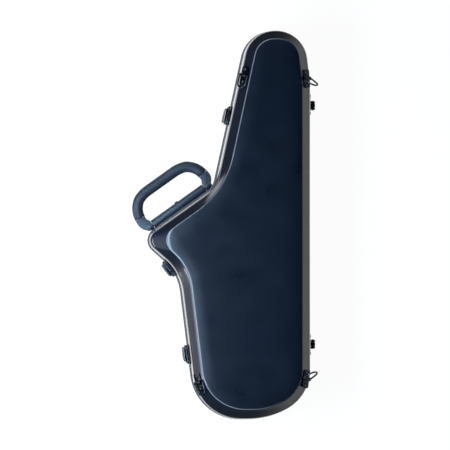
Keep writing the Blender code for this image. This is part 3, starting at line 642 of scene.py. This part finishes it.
hingeShape = {
    "places": {"neck": 0.3084, "bow": -0.3072},      # shares of the case's length
    "barrel": 4.3 * mm, "clear": 0.4 * mm, "soft": 0.35 * mm, "middle": 6.6 * mm, "end": 3.2 * mm,
    "pin": 1.6 * mm, "bore": 1.75 * mm, "head": 2.9 * mm, "headHeight": 0.9 * mm,
    "width": 36 * mm, "height": 22 * mm, "thickness": 1.2 * mm, "corner": 4 * mm, "setback": 1.5 * mm,
    "strap": 1.8 * mm,
}


def hingeLeaf(name, side, spans):
    h = hingeShape
    edges = sorted((side * h["setback"], side * (h["setback"] + h["height"])))
    rivetX = h["width"] / 2 - rivetShape["edge"]
    rivetZ = side * (h["setback"] + h["height"] - rivetShape["edge"])
    plate = platePiece(name, h["width"], *edges, h["corner"], caseShape["seatGap"], h["thickness"],
                       [(-rivetX, rivetZ), (rivetX, rivetZ)])
    plate.data.transform(wallFace(Matrix(), side))
    shift = Matrix.Translation((0, h["barrel"] + h["clear"], 0))
    parts = [plate]
    # the strap runs from the barrel along the edge profile, then back over it to the plate
    near, far = -h["barrel"], h["strap"] - h["barrel"]
    root = near - h["clear"] - caseShape["overhang"] + caseShape["seatGap"] + h["thickness"] / 2
    step = side * (caseShape["rimHeight"] + h["setback"] + caseShape["seatGap"])
    reach = step + side * h["strap"]
    outline = [(near, 0), (far, 0), (far, reach), (root, reach + side * h["strap"])]
    outline += [(root, step), (near, step)]
    for low, high in spans:
        barrel = turnedPiece("barrel", softRod(low, high, h["barrel"], h["soft"]), 36)
        strap = prismPiece("strap", outline, low, high, "yz")
        roundEdges(strap, softEdge, 2)
        combine(barrel, "UNION", strap)
        cutAway(barrel, prismPiece("bore", circlePoints(h["bore"], 32), low - spare, high + spare, "yz"))
        barrel.data.transform(shift)
        parts.append(barrel)
    return joined(name, *parts)


def makeHinges():
    h = hingeShape
    middle, gap = h["middle"] / 2, caseShape["seatGap"]
    end = middle + gap + h["end"]
    baseLeaf = hingeLeaf("baseLeaf", -1, [(-middle, middle)])
    lidLeaf = hingeLeaf("lidLeaf", 1, [(-end, -middle - gap), (middle + gap, end)])
    tip, head, rise = end + gap, h["head"], h["headHeight"]
    half = [(tip, h["pin"]), (tip, head), (tip + rise * 0.5, head), (tip + rise, head * 0.6)]
    pin = turnedPiece("pin", [(-x, radius) for x, radius in half[::-1]] + half, 28)
    axis = Matrix.Translation((0, h["barrel"] + h["clear"], 0))
    for word, share in h["places"].items():
        place = wallPlace(share * caseShape["length"], 1)
        for source, part, body, spot, finish in (
            (baseLeaf, "base_leaf", "base", place, "blackNickelPressing"),
            (lidLeaf, "lid_leaf", "lid", place, "blackNickelPressing"),
            (pin, "pin", "base", place @ axis, "blackNickelWire"),
        ):
            piece = copyOf(source, "hinge" + nameTail(word) + nameTail(part))
            settle(piece, spot, body, "dark_hardware", finish, f"hinge_{word}_{part}")
    discard(baseLeaf, lidLeaf, pin)


makeHinges()
print("hinges made")


# Draw latches.

latchShape = {
    "stand": 3.3 * mm, "drop": 10.5 * mm, "gap": 0.3 * mm, "setback": 1.5 * mm, "thickness": 1.5 * mm,
    "plateWidth": 27 * mm, "plateHeight": 28 * mm, "plateCorner": 4 * mm,
    "ear": 1.7 * mm, "earBoss": 2.1 * mm, "cheek": 1.6 * mm, "boss": 2.6 * mm,
    "leverWidth": 24 * mm, "leverReach": 24.5 * mm, "leverThick": 1.3 * mm, "leverStand": 2.4 * mm,
    "leverCrown": 0.35 * mm, "leverSoft": 0.35 * mm, "earSoft": 0.25 * mm,
    "curl": 1 * mm, "curlRun": 5.2 * mm, "shoulder": 0.8 * mm,
    # the finger end: height over the tip and narrowing on each side, in mm
    "finger": ((2.8, 0.2), (1.6, 1), (0.5, 2.2), (0, 3.6)),
    "pin": 1.4 * mm, "pinSoft": 0.3 * mm, "wire": 1.3 * mm, "wireGap": 1.2 * mm, "bailCorner": 4 * mm,
    "footDrop": 6 * mm, "footInset": 0.4 * mm,
    "keeperWidth": 33 * mm, "keeperHeight": 19 * mm, "keeperCorner": 7 * mm, "hookWidth": 20 * mm,
    "hookRise": 3 * mm, "slot": 1.8 * mm, "shelf": 2.6 * mm, "lip": 1.2 * mm, "lipHeight": 1.6 * mm,
}


def keeperPiece():
    s = latchShape
    front, top = s["gap"] + s["thickness"], s["setback"] + s["keeperHeight"]
    rivetX, rivetZ = s["keeperWidth"] / 2 - s["keeperCorner"], top - rivetShape["edge"]
    plate = platePiece("keeper", s["keeperWidth"], s["setback"], top, s["keeperCorner"],
                       s["gap"], s["thickness"], [(-rivetX, rivetZ), (rivetX, rivetZ)])
    stand = front + s["gap"] + s["wire"]
    low, root = s["setback"] + s["hookRise"], s["gap"] + s["thickness"] / 2
    shelf, inner = low + s["shelf"], stand + s["wire"] + s["slot"]
    outer, lipRadius = inner + s["lip"], s["lip"] / 2
    outline = [(root, low), (inner, low)] + arcPoints(s["lip"], (inner, low + s["lip"]), -90, 0, 4)[1:]
    outline += [(outer, shelf + s["lipHeight"] - lipRadius)]
    outline += arcPoints(lipRadius, (inner + lipRadius, shelf + s["lipHeight"] - lipRadius), 0, 180, 6)
    outline += [(inner, shelf + softEdge), (inner - softEdge, shelf), (root, shelf)]
    hook = prismPiece("hook", outline, -s["hookWidth"] / 2, s["hookWidth"] / 2, "yz")
    roundEdges(hook, softEdge, 2, 60)
    keeper = joined("keeper", plate, hook)
    keeper.data.transform(wallFace(Matrix(), 1))
    return keeper, (stand, shelf + s["gap"] + s["wire"])


def latchPlatePiece():
    s = latchShape
    low = -(s["setback"] + s["plateHeight"])
    plate = platePiece("latchPlate", s["plateWidth"], low, -s["setback"], s["plateCorner"], s["gap"],
                       s["thickness"], [(0, low + rivetShape["edge"])])
    plate.data.transform(wallFace(Matrix(), -1))
    foot = -(s["stand"] + caseShape["overhang"]) + s["gap"] + s["thickness"] / 2
    side = [(foot, -2 * s["earBoss"]), (0, -2 * s["earBoss"])]
    side += arcPoints(s["earBoss"], (0, 0), -80, 80, 8) + [(0, s["earBoss"]), (foot, s["earBoss"])]
    outer = s["leverWidth"] / 2 - s["cheek"] - s["gap"]
    ears = []
    for low in (-outer, outer - s["ear"]):
        ear = prismPiece("ear", side, low, low + s["ear"], "yz")
        bore = circlePoints(s["pin"] + runGap, 24)
        cutAway(ear, prismPiece("bore", bore, low - spare, low + s["ear"] + spare, "yz"))
        roundEdges(ear, s["earSoft"], 2, 60)
        ear.data.transform(Matrix.Translation((0, s["stand"], -s["drop"])))
        ears.append(ear)
    return joined("latchPlate", plate, *ears)


def leverPiece():
    s = latchShape
    half, top = s["leverWidth"] / 2, s["pin"]
    inner, outer = s["leverStand"], s["leverStand"] + s["leverThick"]
    tip = -s["leverReach"]
    curlStart = tip + s["curlRun"]
    # height and narrowing of each row: square shoulders, then a rounded finger end that curls outwards
    plan = [(level, 0) for level in (top, top - s["shoulder"], -s["footDrop"], curlStart)]
    plan += [(tip + level * mm, narrow * mm) for level, narrow in s["finger"]]
    rows = []
    for z, narrow in plan:
        push = s["curl"] * max(0, (curlStart - z) / (curlStart - tip)) ** 2
        across = [(half - narrow) * (2 * k / 12 - 1) for k in range(13)]
        front = [Vector((x, outer + push + s["leverCrown"] * (1 - (x / half) ** 2), z)) for x in across]
        rows.append(front + [Vector((-x, inner + push, z)) for x in across])
    plate = loopSkin("lever", rows)
    roundEdges(plate, s["leverSoft"], 2, 50)
    foot = (-s["footInset"], -s["footDrop"])
    root = inner + s["leverThick"] / 2
    side = [(root, top)] + arcPoints(s["boss"], (0, 0), 60, 190, 8)
    side += arcPoints(s["boss"], foot, 170, 290, 8) + [(root, foot[1] - 2 * s["boss"])]
    cheeks = []
    for low in (-half, half - s["cheek"]):
        cheek = prismPiece("cheek", side, low, low + s["cheek"], "yz")
        for radius, centre in ((s["pin"], (0, 0)), (s["wire"], foot)):
            bore = circlePoints(radius + runGap, 24, centre)
            cutAway(cheek, prismPiece("bore", bore, low - spare, low + s["cheek"] + spare, "yz"))
        roundEdges(cheek, softEdge, 2, 60)
        cheeks.append(cheek)
    return joined("lever", plate, *cheeks)


def bailPoints(reach):
    s = latchShape
    half = s["leverWidth"] / 2 + s["wireGap"] + s["wire"]
    small, corner = s["bailCorner"] / 2, s["bailCorner"]
    points = [(s["leverWidth"] / 2 - s["cheek"], 0), (half - small, 0)]
    points += arcPoints(small, (half - small, small), -75, 0, 5)
    points += arcPoints(corner, (half - corner, reach - corner), 0, 90, 8)
    return points + [(-x, z) for x, z in points[::-1]]


def makeLatches():
    s = latchShape
    keeper, (stand, rise) = keeperPiece()
    plate, lever = latchPlatePiece(), leverPiece()
    end = s["leverWidth"] / 2 + s["gap"]
    pin = turnedPiece("leverPin", softRod(-end, end, s["pin"], s["pinSoft"]), 24)
    for number in (1, 2, 3):
        pivot = jointPlace(f"latch_{number}_lever_lift")
        foot = jointPlace(f"latch_{number}_bail_swing")
        place = pivot @ Matrix.Translation((0, -s["stand"], s["drop"]))
        bar = foot.inverted() @ wallFace(place, 1) @ Vector((0, stand, rise))
        along = bar.normalized()
        wire = [Vector((x, 0, 0)) + along * z for x, z in bailPoints(bar.length)]
        bail = tubePiece(f"latch{number}Bail", wire, s["wire"], sides=5)
        settle(bail, foot, f"bail_{number}", "dark_hardware", "blackNickelWire",
               f"latch_{number}_bail", smoothAngle=60)
        for source, word, body, spot, slotName, finish in (
            (keeper, "keeper", "lid", place, "polished_hardware", "blackNickelPressing"),
            (plate, "base_plate", "base", place, "dark_hardware", "blackNickelPressing"),
            (lever, "lever", f"lever_{number}", pivot, "polished_hardware", "blackNickelPressing"),
            (pin, "lever_pin", "base", pivot, "dark_hardware", "blackNickelWire"),
        ):
            name = f"latch{number}" + nameTail(word)
            settle(copyOf(source, name), spot, body, slotName, finish, f"latch_{number}_{word}")
    discard(keeper, plate, lever, pin)


makeLatches()
print("latches made")


# Ring fittings on the band.

ringShape = {
    "bandShare": 0.33, "gap": 0.6 * mm, "length": 30 * mm, "width": 14 * mm, "thickness": 1.5 * mm,
    "stripCorner": 3.4 * mm, "strapRoot": 0.8 * mm, "running": 0.5 * mm,
    "planTop": 8 * mm, "holeTop": 4 * mm,      # heights of the tools that cut the strip
    "wire": 1.4 * mm, "loopWidth": 19 * mm, "loopLength": 21 * mm, "corner": 2.5 * mm,
    "screwSpacing": 21 * mm, "screwTurns": {"a": 25, "b": 62}, "screwHead": 3 * mm, "screwHeight": 1.8 * mm,
    "headGap": 0.1 * mm, "recess": (3.4 * mm, 0.8 * mm, 0.9 * mm),      # length, width and depth
    "shank": 1.5 * mm, "shankLength": 3 * mm, "shankGap": 0.2 * mm, "shankTip": 0.4 * mm,
    # side, place along the case, rest angle of the ring, rise of the rounded band above the frame's facets
    "fittings": {
        "neck_left": (-1, 0.379, 2, 0), "neck_right": (1, 0.371, 52, 0),
        "bow_left": (-1, -0.4000, 2, 0.5 * mm), "bow_right": (1, -0.3917, 130, 0.5 * mm),
    },
}


def bandPlace(y, side):
    c = caseShape
    foot = wallLevels(lidCrease)[0]
    footLine = [a.lerp(b, c["footBlend"]) for a, b in zip(coarseRim, coarsePanel)]
    footLine = insetLine(footLine, c["overhang"] + c["draft"])
    middle = [a.lerp(b, ringShape["bandShare"]) for a, b in zip(footLine, coarsePanel)]
    step, part = placeOn(middle, y, side)
    following = (step + 1) % len(middle)
    low = footLine[step].lerp(footLine[following], part)
    high = coarsePanel[step].lerp(coarsePanel[following], part)
    along = (middle[step] - middle[following]).normalized().to_3d()
    along = along if along.y < 0 else -along
    slope = (high - low).to_3d() + up * (lidCrease - foot)
    slope = (slope - along * slope.dot(along)).normalized()
    normal = along.cross(slope)
    normal = normal if normal.z > 0 else -normal
    level = c["parting"] + foot + (lidCrease - foot) * ringShape["bandShare"]
    origin = middle[step].lerp(middle[following], part).to_3d() + up * level
    return axesPlace(origin, along, normal.cross(along), normal)


def strapPiece():
    s = ringShape
    axis = s["gap"] + s["running"] + s["wire"]
    top, inner = s["gap"] + s["thickness"], s["wire"] + s["running"]
    outer, half = inner + s["thickness"], s["length"] / 2
    start = math.degrees(math.asin((top - axis) / outer))
    outline = [(-half, s["gap"]), (-half, top), (-outer - s["strapRoot"], top)]
    outline += arcPoints(outer, (0, axis), 180 - start, start, 14)
    outline += [(outer + s["strapRoot"], top), (half, top), (half, s["gap"]), (inner, s["gap"])]
    outline += arcPoints(inner, (0, axis), 0, 180, 10) + [(-inner, s["gap"])]
    strip = prismPiece("strap", outline, -s["width"] / 2, s["width"] / 2, "xz")
    # rounds the strip's four corners in plan
    tip = roundedBox((-half, -s["width"] / 2), (half, s["width"] / 2), s["stripCorner"])
    combine(strip, "INTERSECT", prismPiece("keep", tip, -spare, s["planTop"]))
    for x in (-s["screwSpacing"] / 2, s["screwSpacing"] / 2):
        hole = circlePoints(s["shank"] + s["shankGap"], 20, (x, 0))
        cutAway(strip, prismPiece("hole", hole, -spare, s["holeTop"]))
    roundEdges(strip, softEdge, 2, 50)
    return strip


def screwPiece():
    s = ringShape
    seat = s["gap"] + s["thickness"] + s["headGap"]
    tip, shank, top = -s["shankLength"], s["shank"], seat + s["screwHeight"]
    dome = ((0, 1), (0.35, 1), (0.65, 0.9), (0.88, 0.68), (1, 0.35))      # shares of height and radius
    profile = [(tip, shank * 0.8), (tip + s["shankTip"], shank), (seat, shank)]
    profile += [(seat + level * s["screwHeight"], share * s["screwHead"]) for level, share in dome]
    screw = turnedPiece("screw", profile, 28, "xy")
    # cross recess
    length, width, depth = s["recess"]
    cross = [(x * length / 2, y * width / 2) for x, y in ((-1, -1), (1, -1), (1, 1), (-1, 1))]
    for turn in (0, 90):
        slot = prismPiece("recess", cross, top - depth, top + spare)
        slot.data.transform(Matrix.Rotation(math.radians(turn), 4, "Z"))
        cutAway(screw, slot)
    return screw


def ringPoints():
    s = ringShape
    half, side, corner = s["loopWidth"] / 2, s["loopWidth"] / 2 - s["corner"], s["corner"]
    points = [(0, -side), (0, side)] + arcPoints(corner, (corner, side), 165, 90, 5)
    points += arcPoints(half, (s["loopLength"] - half, 0), 90, -90, 24)
    return points + arcPoints(corner, (corner, -side), -90, -165, 5)


def makeRings():
    s = ringShape
    strap, screw = strapPiece(), screwPiece()
    loop = tubePiece("loop", [Vector((x, y, 0)) for x, y in ringPoints()], s["wire"], closed=True, sides=6)
    for word, (side, share, rest, rise) in s["fittings"].items():
        place = bandPlace(share * caseShape["length"], side)
        raised = place @ Matrix.Translation((0, 0, rise))
        name = "ring" + nameTail(word)
        settle(copyOf(strap, name + "Strap"), raised, "lid", "polished_hardware",
               "blackNickelPressing", f"ring_{word}_bracket")
        for end, (tag, turn) in zip((-1, 1), s["screwTurns"].items()):
            spot = raised @ Matrix.Translation((end * s["screwSpacing"] / 2, 0, 0))
            spin = Matrix.Rotation(math.radians(turn), 4, "Z")
            settle(copyOf(screw, name + "Screw" + tag.upper()), spot @ spin, "lid", "dark_hardware",
                   "blackNickelWire", f"ring_{word}_screw_{tag}")
        lift = Matrix.Translation((0, 0, s["gap"] + s["running"] + s["wire"]))
        tilt = Matrix.Rotation(-math.radians(rest), 4, "Y")
        settle(copyOf(loop, name), place @ lift @ tilt, f"d_ring_{word}", "dark_hardware",
               "blackNickelWire", f"ring_{word}", smoothAngle=60)
    discard(strap, screw, loop)


makeRings()
print("ring fittings made")


# Handle.

handleShape = {
    "mountRadius": 7.6 * mm, "mountHalf": 52.4 * mm, "mountSoft": 1.2 * mm, "stand": 6.5 * mm,
    "footLength": 92 * mm, "footHeight": 21 * mm, "footToe": 3.5 * mm,
    "footBack": 0.7 * mm, "footLean": 0.5 * mm, "footSoft": 0.5 * mm,
    "button": 3 * mm, "buttonHeight": 1.6 * mm,
    # place in mm along the pivot and radius in mm, from the cheek's inner face outwards
    "cheekSteps": ((0, 7), (7, 7), (7, 5.8), (10, 5.8), (10, 4.4), (12, 4.4)), "sideGap": 0.6 * mm,
    "armHeight": 10.5 * mm, "armRoot": 8.5 * mm, "armReach": 20.1 * mm, "armHalf": 8.6 * mm,
    "armSoft": 0.6 * mm,
    "pin": 3 * mm, "pinDepth": 12 * mm, "pinGap": 0.3 * mm, "pinTip": 0.6 * mm,
    "pinHead": 3.5 * mm, "headHeight": 0.8 * mm, "headRoom": 0.6 * mm, "seatRun": 12 * mm,
    # the right half of the loop and the arms' edges, as shares of the half span and reach
    "halfSpan": 64.3 * mm, "reach": 51 * mm, "armOuter": (1.135, 0.314), "armInner": (0.871, 0.275),
    "path": ((0, 1), (0.31, 1), (0.5, 0.995), (0.655, 0.953), (0.77, 0.886), (0.89, 0.733), (0.96, 0.569),
             (0.995, 0.392), (1, 0.29)),
    # the rounded foot of each arm, in mm
    "armFeet": {-1: ((57, -4.4), (64, -3.4), (69.4, 1.8), (72.4, 8.5)),
                1: ((59, -2.6), (64, -0.6), (68.8, 3.6), (72.2, 9.5))},
    "core": 5 * mm, "grip": 9 * mm, "gripGap": 0.3 * mm, "domeSteps": 9, "domeHeight": 0.62,
}


def mountPiece():
    s = handleShape
    half, radius, soft = s["mountHalf"], s["mountRadius"], s["mountSoft"]
    tube = turnedPiece("mount", [
        (-half, radius - soft), (-half + soft * 0.3, radius - soft * 0.3), (-half + soft, radius),
        (half - soft, radius), (half - soft * 0.3, radius - soft * 0.3), (half, radius - soft)], 48)
    for side in (-1, 1):
        low, high = sorted((side * (half - s["pinDepth"]), side * (half + spare)))
        cutAway(tube, prismPiece("bore", circlePoints(s["pin"] + runGap, 32), low, high, "yz"))
    wall = -s["stand"] - caseShape["overhang"] + caseShape["seatGap"]
    top, back = s["footHeight"] / 2, s["footBack"] - s["stand"]
    foot = [(wall, top), (wall - s["footLean"], -top), (wall + s["footToe"], -top)]
    foot += [(radius * 0.6, -radius / 2), (0, 0), (back, 0), (back, top)]
    base = prismPiece("foot", foot, -s["footLength"] / 2, s["footLength"] / 2, "yz")
    roundEdges(base, s["footSoft"], 3, 20)
    rise, wide = s["buttonHeight"], s["button"]
    knob = turnedPiece("knob", [(radius / 2, wide), (radius + rise * 0.5, wide),
                                (radius + rise * 0.85, wide * 0.75), (radius + rise, wide * 0.3)], 28, "xz")
    return joined("handleMount", tube, base, knob)


# A point of the handle from its shares of the half span and reach.
def loopSpot(shares):
    return Vector((shares[0] * handleShape["halfSpan"], shares[1] * handleShape["reach"]))


# One arm with its round cheek, from the pivot up to the slanted end of the grip.
def armPiece(side, path, gripEnd):
    s = handleShape
    inner = s["mountHalf"] + s["sideGap"]
    steps = [(inner + level * mm, radius * mm) for level, radius in s["cheekSteps"]]
    outer = steps[-1][0]
    along = (path[gripEnd - 2] - path[gripEnd + 2]).xy.normalized()
    half = leftOf(along) * s["armHalf"]
    top = path[gripEnd].xy - along * s["gripGap"]
    outerEdge = [Vector(spot) * mm for spot in s["armFeet"][side]] + [loopSpot(s["armOuter"]), top - half]
    innerEdge = [top + half, loopSpot(s["armInner"]), Vector((inner, s["armRoot"]))]
    plan = [(inner, outerEdge[0].y)] + [tuple(p) for p in smoothPath(outerEdge, 5) + smoothPath(innerEdge, 5)]
    cheek = turnedPiece("cheek", steps, 40)
    cheek.data.transform(Matrix.Rotation(0 if side > 0 else math.pi, 4, "Z"))
    arm = prismPiece("arm", [(side * x, y) for x, y in plan], -s["armHeight"] / 2, s["armHeight"] / 2)
    combine(cheek, "UNION", arm)
    # the pin's bore, then the seat of its head
    for radius, near, far in ((s["pin"] + runGap, inner - spare, outer + spare),
                              (s["pinHead"] + s["headRoom"], outer, outer + s["seatRun"])):
        low, high = sorted((side * near, side * far))
        cutAway(cheek, prismPiece("bore", circlePoints(radius, 32), low, high, "yz"))
    roundEdges(cheek, s["armSoft"], 3, 30)
    return cheek


# Rings of points round the path, each with its own half width and half height.
def sleeveLoops(path, halfWidth, halfHeights, sides=40):
    loops = []
    for i, (point, halfHeight) in enumerate(zip(path, halfHeights)):
        along = (path[min(i + 1, len(path) - 1)] - path[max(i - 1, 0)]).normalized()
        across = along.cross(up)
        spots = circlePoints(1, sides)
        loops.append([point + across * (halfWidth * x) + up * (halfHeight * y) for x, y in spots])
    return loops


def makeHandle():
    s = handleShape
    place = jointPlace("handle_swing")
    settle(mountPiece(), place, "base", "handle_plastic", "mouldedNylonHandle", "handle_mount")

    right = [loopSpot(shares).to_3d() for shares in s["path"]]
    path = smoothPath([Vector((-p.x, p.y, 0)) for p in right[:0:-1]] + right, 8)
    gripEnd = next(i for i, p in enumerate(path) if i > len(path) / 2 and p.y < s["armReach"]) - 1
    arms = [armPiece(side, path, gripEnd) for side in (-1, 1)]
    arms = joined("handleFrame", tubePiece("core", path, s["core"], sides=7), *arms)
    settle(arms, place, "handle", "handle_plastic", "mouldedNylonHandle", "handle_frame")

    gripPath = path[len(path) - 1 - gripEnd:gripEnd + 1]
    total = len(gripPath)
    # the ends are domed in height alone
    near = [min(i, total - 1 - i, s["domeSteps"]) / s["domeSteps"] for i in range(total)]
    lowest = s["domeHeight"]
    heights = [s["grip"] * (lowest + (1 - lowest) * (1 - (1 - n) ** 2) ** 0.5) for n in near]
    hollow = s["core"] + s["gripGap"]
    loops = sleeveLoops(gripPath, s["grip"], heights) + sleeveLoops(gripPath, hollow, [hollow] * total)[::-1]
    grip = loopSkin("handleGrip", loops, ring=True)
    settle(grip, place, "handle", "grip", "overmouldedElastomerGrip", "handle_grip", smoothAngle=55)

    head = s["mountHalf"] + s["sideGap"] + s["cheekSteps"][-1][0] * mm + s["pinGap"]
    start = s["mountHalf"] - s["pinDepth"] + s["pinGap"]
    rise, wide = s["headHeight"], s["pinHead"]
    pin = turnedPiece("pin", [
        (start, s["pin"] * 0.8), (start + s["pinTip"], s["pin"]), (head, s["pin"]), (head, wide),
        (head + rise * 0.45, wide), (head + rise * 0.8, wide * 0.85), (head + rise, wide * 0.55)], 36)
    for word, turn in (("left", math.pi), ("right", 0)):
        spot = place @ Matrix.Rotation(turn, 4, "Z")
        settle(copyOf(pin, "handlePin" + nameTail(word)), spot, "base", "dark_hardware",
               "blackNickelWire", f"handle_pin_{word}")
    discard(pin)


makeHandle()
print("handle made")


# Floor, light and camera.

studio = {
    "floorSize": 14, "floorDrop": 0.4 * mm, "floorColour": "f2f2f2", "floorGlow": 0.8, "floorBright": 1.2,
    # the mirrored table falls off to dark: distances from the middle in m, stretched, and what is left of it
    "tableFall": (0.34, 0.52), "tableStretch": (1.6, 1, 1), "tableLeft": 0.08,
    # it is bright again further out on the right: places in m
    "farRight": (0.25, 0.60), "farBright": 0.8,
    # sine of the elevation and brightness, from the horizon up
    "skyLeft": ((0.0, 0.14), (0.54, 0.05), (0.62, 10), (0.76, 10), (0.81, 0.01)),
    "skyRight": ((0.0, 0.7), (0.08, 0.5), (0.20, 0.14), (0.62, 0.14), (0.82, 0.01)),
    # between which directions the sky changes from left to right
    "skyTurn": (-0.2, 0.4), "skyColour": "cfe2f6",
}


def makeFloor():
    clearSelection()
    bpy.ops.mesh.primitive_plane_add(size=studio["floorSize"], location=(0, 0, -studio["floorDrop"]))
    floor = bpy.context.object
    floor.name = "floor"
    material = bpy.data.materials.new("paleFloor")
    material.use_nodes = True
    tree = material.node_tree
    tree.nodes.clear()
    paint = addNode(tree, "BsdfDiffuse", {"Color": linearColour(studio["floorColour"])})
    glow = addNode(tree, "Emission", {"Color": (1, 1, 1, 1), "Strength": studio["floorBright"]})
    path = addNode(tree, "LightPath").outputs
    larger = {"operation": "MAXIMUM"}
    seen = addNode(tree, "Math", larger, {0: path["Is Camera Ray"], 1: path["Is Glossy Ray"]})
    seen = addNode(tree, "Math", larger, {0: seen.outputs[0], 1: path["Is Transmission Ray"]})
    weaker = {"operation": "MULTIPLY", 1: studio["floorGlow"]}
    share = addNode(tree, "Math", weaker, {0: seen.outputs[0]})
    mix = addNode(tree, "MixShader", {},
                  {0: share.outputs[0], 1: paint.outputs[0], 2: glow.outputs[0]})
    # what the case reflects: the table, bright near the case and dark further out
    spot = addNode(tree, "TexCoord").outputs["Object"]
    stretch = {"operation": "MULTIPLY", 1: studio["tableStretch"]}
    stretched = addNode(tree, "VectorMath", stretch, {0: spot})
    reach = addNode(tree, "VectorMath", {"operation": "LENGTH"}, {0: stretched.outputs[0]})
    near, far = studio["tableFall"]
    fade = {"From Min": near, "From Max": far, "To Min": studio["floorBright"], "To Max": studio["tableLeft"]}
    fall = addNode(tree, "MapRange", fade, {"Value": reach.outputs["Value"]})
    split = addNode(tree, "SeparateXYZ", {}, {0: spot})
    near, far = studio["farRight"]
    fade = {"From Min": near, "From Max": far, "To Min": 0, "To Max": studio["farBright"]}
    right = addNode(tree, "MapRange", fade, {"Value": split.outputs["X"]})
    both = addNode(tree, "Math", larger, {0: fall.outputs[0], 1: right.outputs[0]})
    table = addNode(tree, "Emission", {"Color": (1, 1, 1, 1)}, {"Strength": both.outputs[0]})
    mix = addNode(tree, "MixShader", {},
                  {0: path["Is Glossy Ray"], 1: mix.outputs[0], 2: table.outputs[0]})
    addNode(tree, "OutputMaterial", {}, {"Surface": mix.outputs[0]})
    floor.data.materials.append(material)


def makeWorld():
    world = bpy.data.worlds.new("studio")
    bpy.context.scene.world = world
    world.use_nodes = True
    tree = world.node_tree
    tree.nodes.clear()
    spot = addNode(tree, "TexCoord").outputs["Generated"]
    split = addNode(tree, "SeparateXYZ", {}, {0: spot})
    tint = linearColour(studio["skyColour"])
    halves = []
    for side in ("skyLeft", "skyRight"):
        ramp = addNode(tree, "ValToRGB", {}, {"Fac": split.outputs["Z"]})
        stops = ramp.color_ramp.elements
        while len(stops) < len(studio[side]):
            stops.new(1)
        for stop, (level, bright) in zip(stops, studio[side]):
            stop.position = level
            stop.color = (*[channel * bright for channel in tint[:3]], 1)
        half = addNode(tree, "Background", {"Strength": 1}, {"Color": ramp.outputs["Color"]})
        halves.append(half.outputs[0])
    left, right = halves
    fade = {"From Min": studio["skyTurn"][0], "From Max": studio["skyTurn"][1]}
    turn = addNode(tree, "MapRange", fade, {"Value": split.outputs["X"]})
    sky = addNode(tree, "MixShader", {}, {0: turn.outputs["Result"], 1: left, 2: right})
    # the bright part on the left is only mirrored, it lights nothing
    path = addNode(tree, "LightPath").outputs
    sky = addNode(tree, "MixShader", {}, {0: path["Is Glossy Ray"], 1: right, 2: sky.outputs[0]})
    plain = addNode(tree, "Background", {"Color": (1, 1, 1, 1), "Strength": 1})
    mix = addNode(tree, "MixShader", {},
                  {0: path["Is Camera Ray"], 1: sky.outputs[0], 2: plain.outputs[0]})
    addNode(tree, "OutputWorld", {}, {"Surface": mix.outputs[0]})


# name, place in m, size in m, power in W, colour, aimed at
lamps = (
    ("softboxNearLeft", (-0.28, -0.10, 0.72), (0.60, 0.20), 5, "b8d8f8", (-0.04, -0.08, 0.17)),
    ("softboxLeftLow", (-1.15, -0.28, 0.26), (0.75, 0.35), 6.5, "eef4fa", (-0.08, -0.15, 0.17)),
)


def makeLamps():
    for name, spot, size, power, colour, target in lamps:
        light = bpy.data.lights.new(name, "AREA")
        light.shape = "RECTANGLE"
        light.size, light.size_y = size
        light.energy = power
        light.color = linearColour(colour)[:3]
        lamp = newObject(name, light)
        lamp.location = spot
        lamp.visible_camera = False
        lamp.rotation_euler = (Vector(target) - Vector(spot)).to_track_quat("-Z", "Y").to_euler()


cameraSetup = {
    "distance": 4.5, "frameWidth": 742.3 * mm, "aim": (-5.8 * mm, 0, 95 * mm),
    "yaw": 2.4, "pitch": 0.6, "sensor": 36, "clipEnd": 30,
}


def makeCamera():
    s = cameraSetup
    lens = bpy.data.cameras.new("camera")
    lens.sensor_width = s["sensor"]
    lens.lens = s["sensor"] * s["distance"] / s["frameWidth"]
    lens.clip_end = s["clipEnd"]
    camera = newObject("camera", lens)
    aim = Vector(s["aim"])
    away = Vector((-math.tan(math.radians(s["yaw"])), -math.tan(math.radians(s["pitch"])), 1)).normalized()
    across = Vector((0, 1, 0)).cross(away).normalized()
    camera.matrix_world = axesPlace(aim + away * s["distance"], across, away.cross(across), away)
    bpy.context.scene.camera = camera


makeFloor()
makeWorld()
makeLamps()
makeCamera()
bpy.context.scene.view_settings.view_transform = "Standard"
print("studio made")

clearSelection()
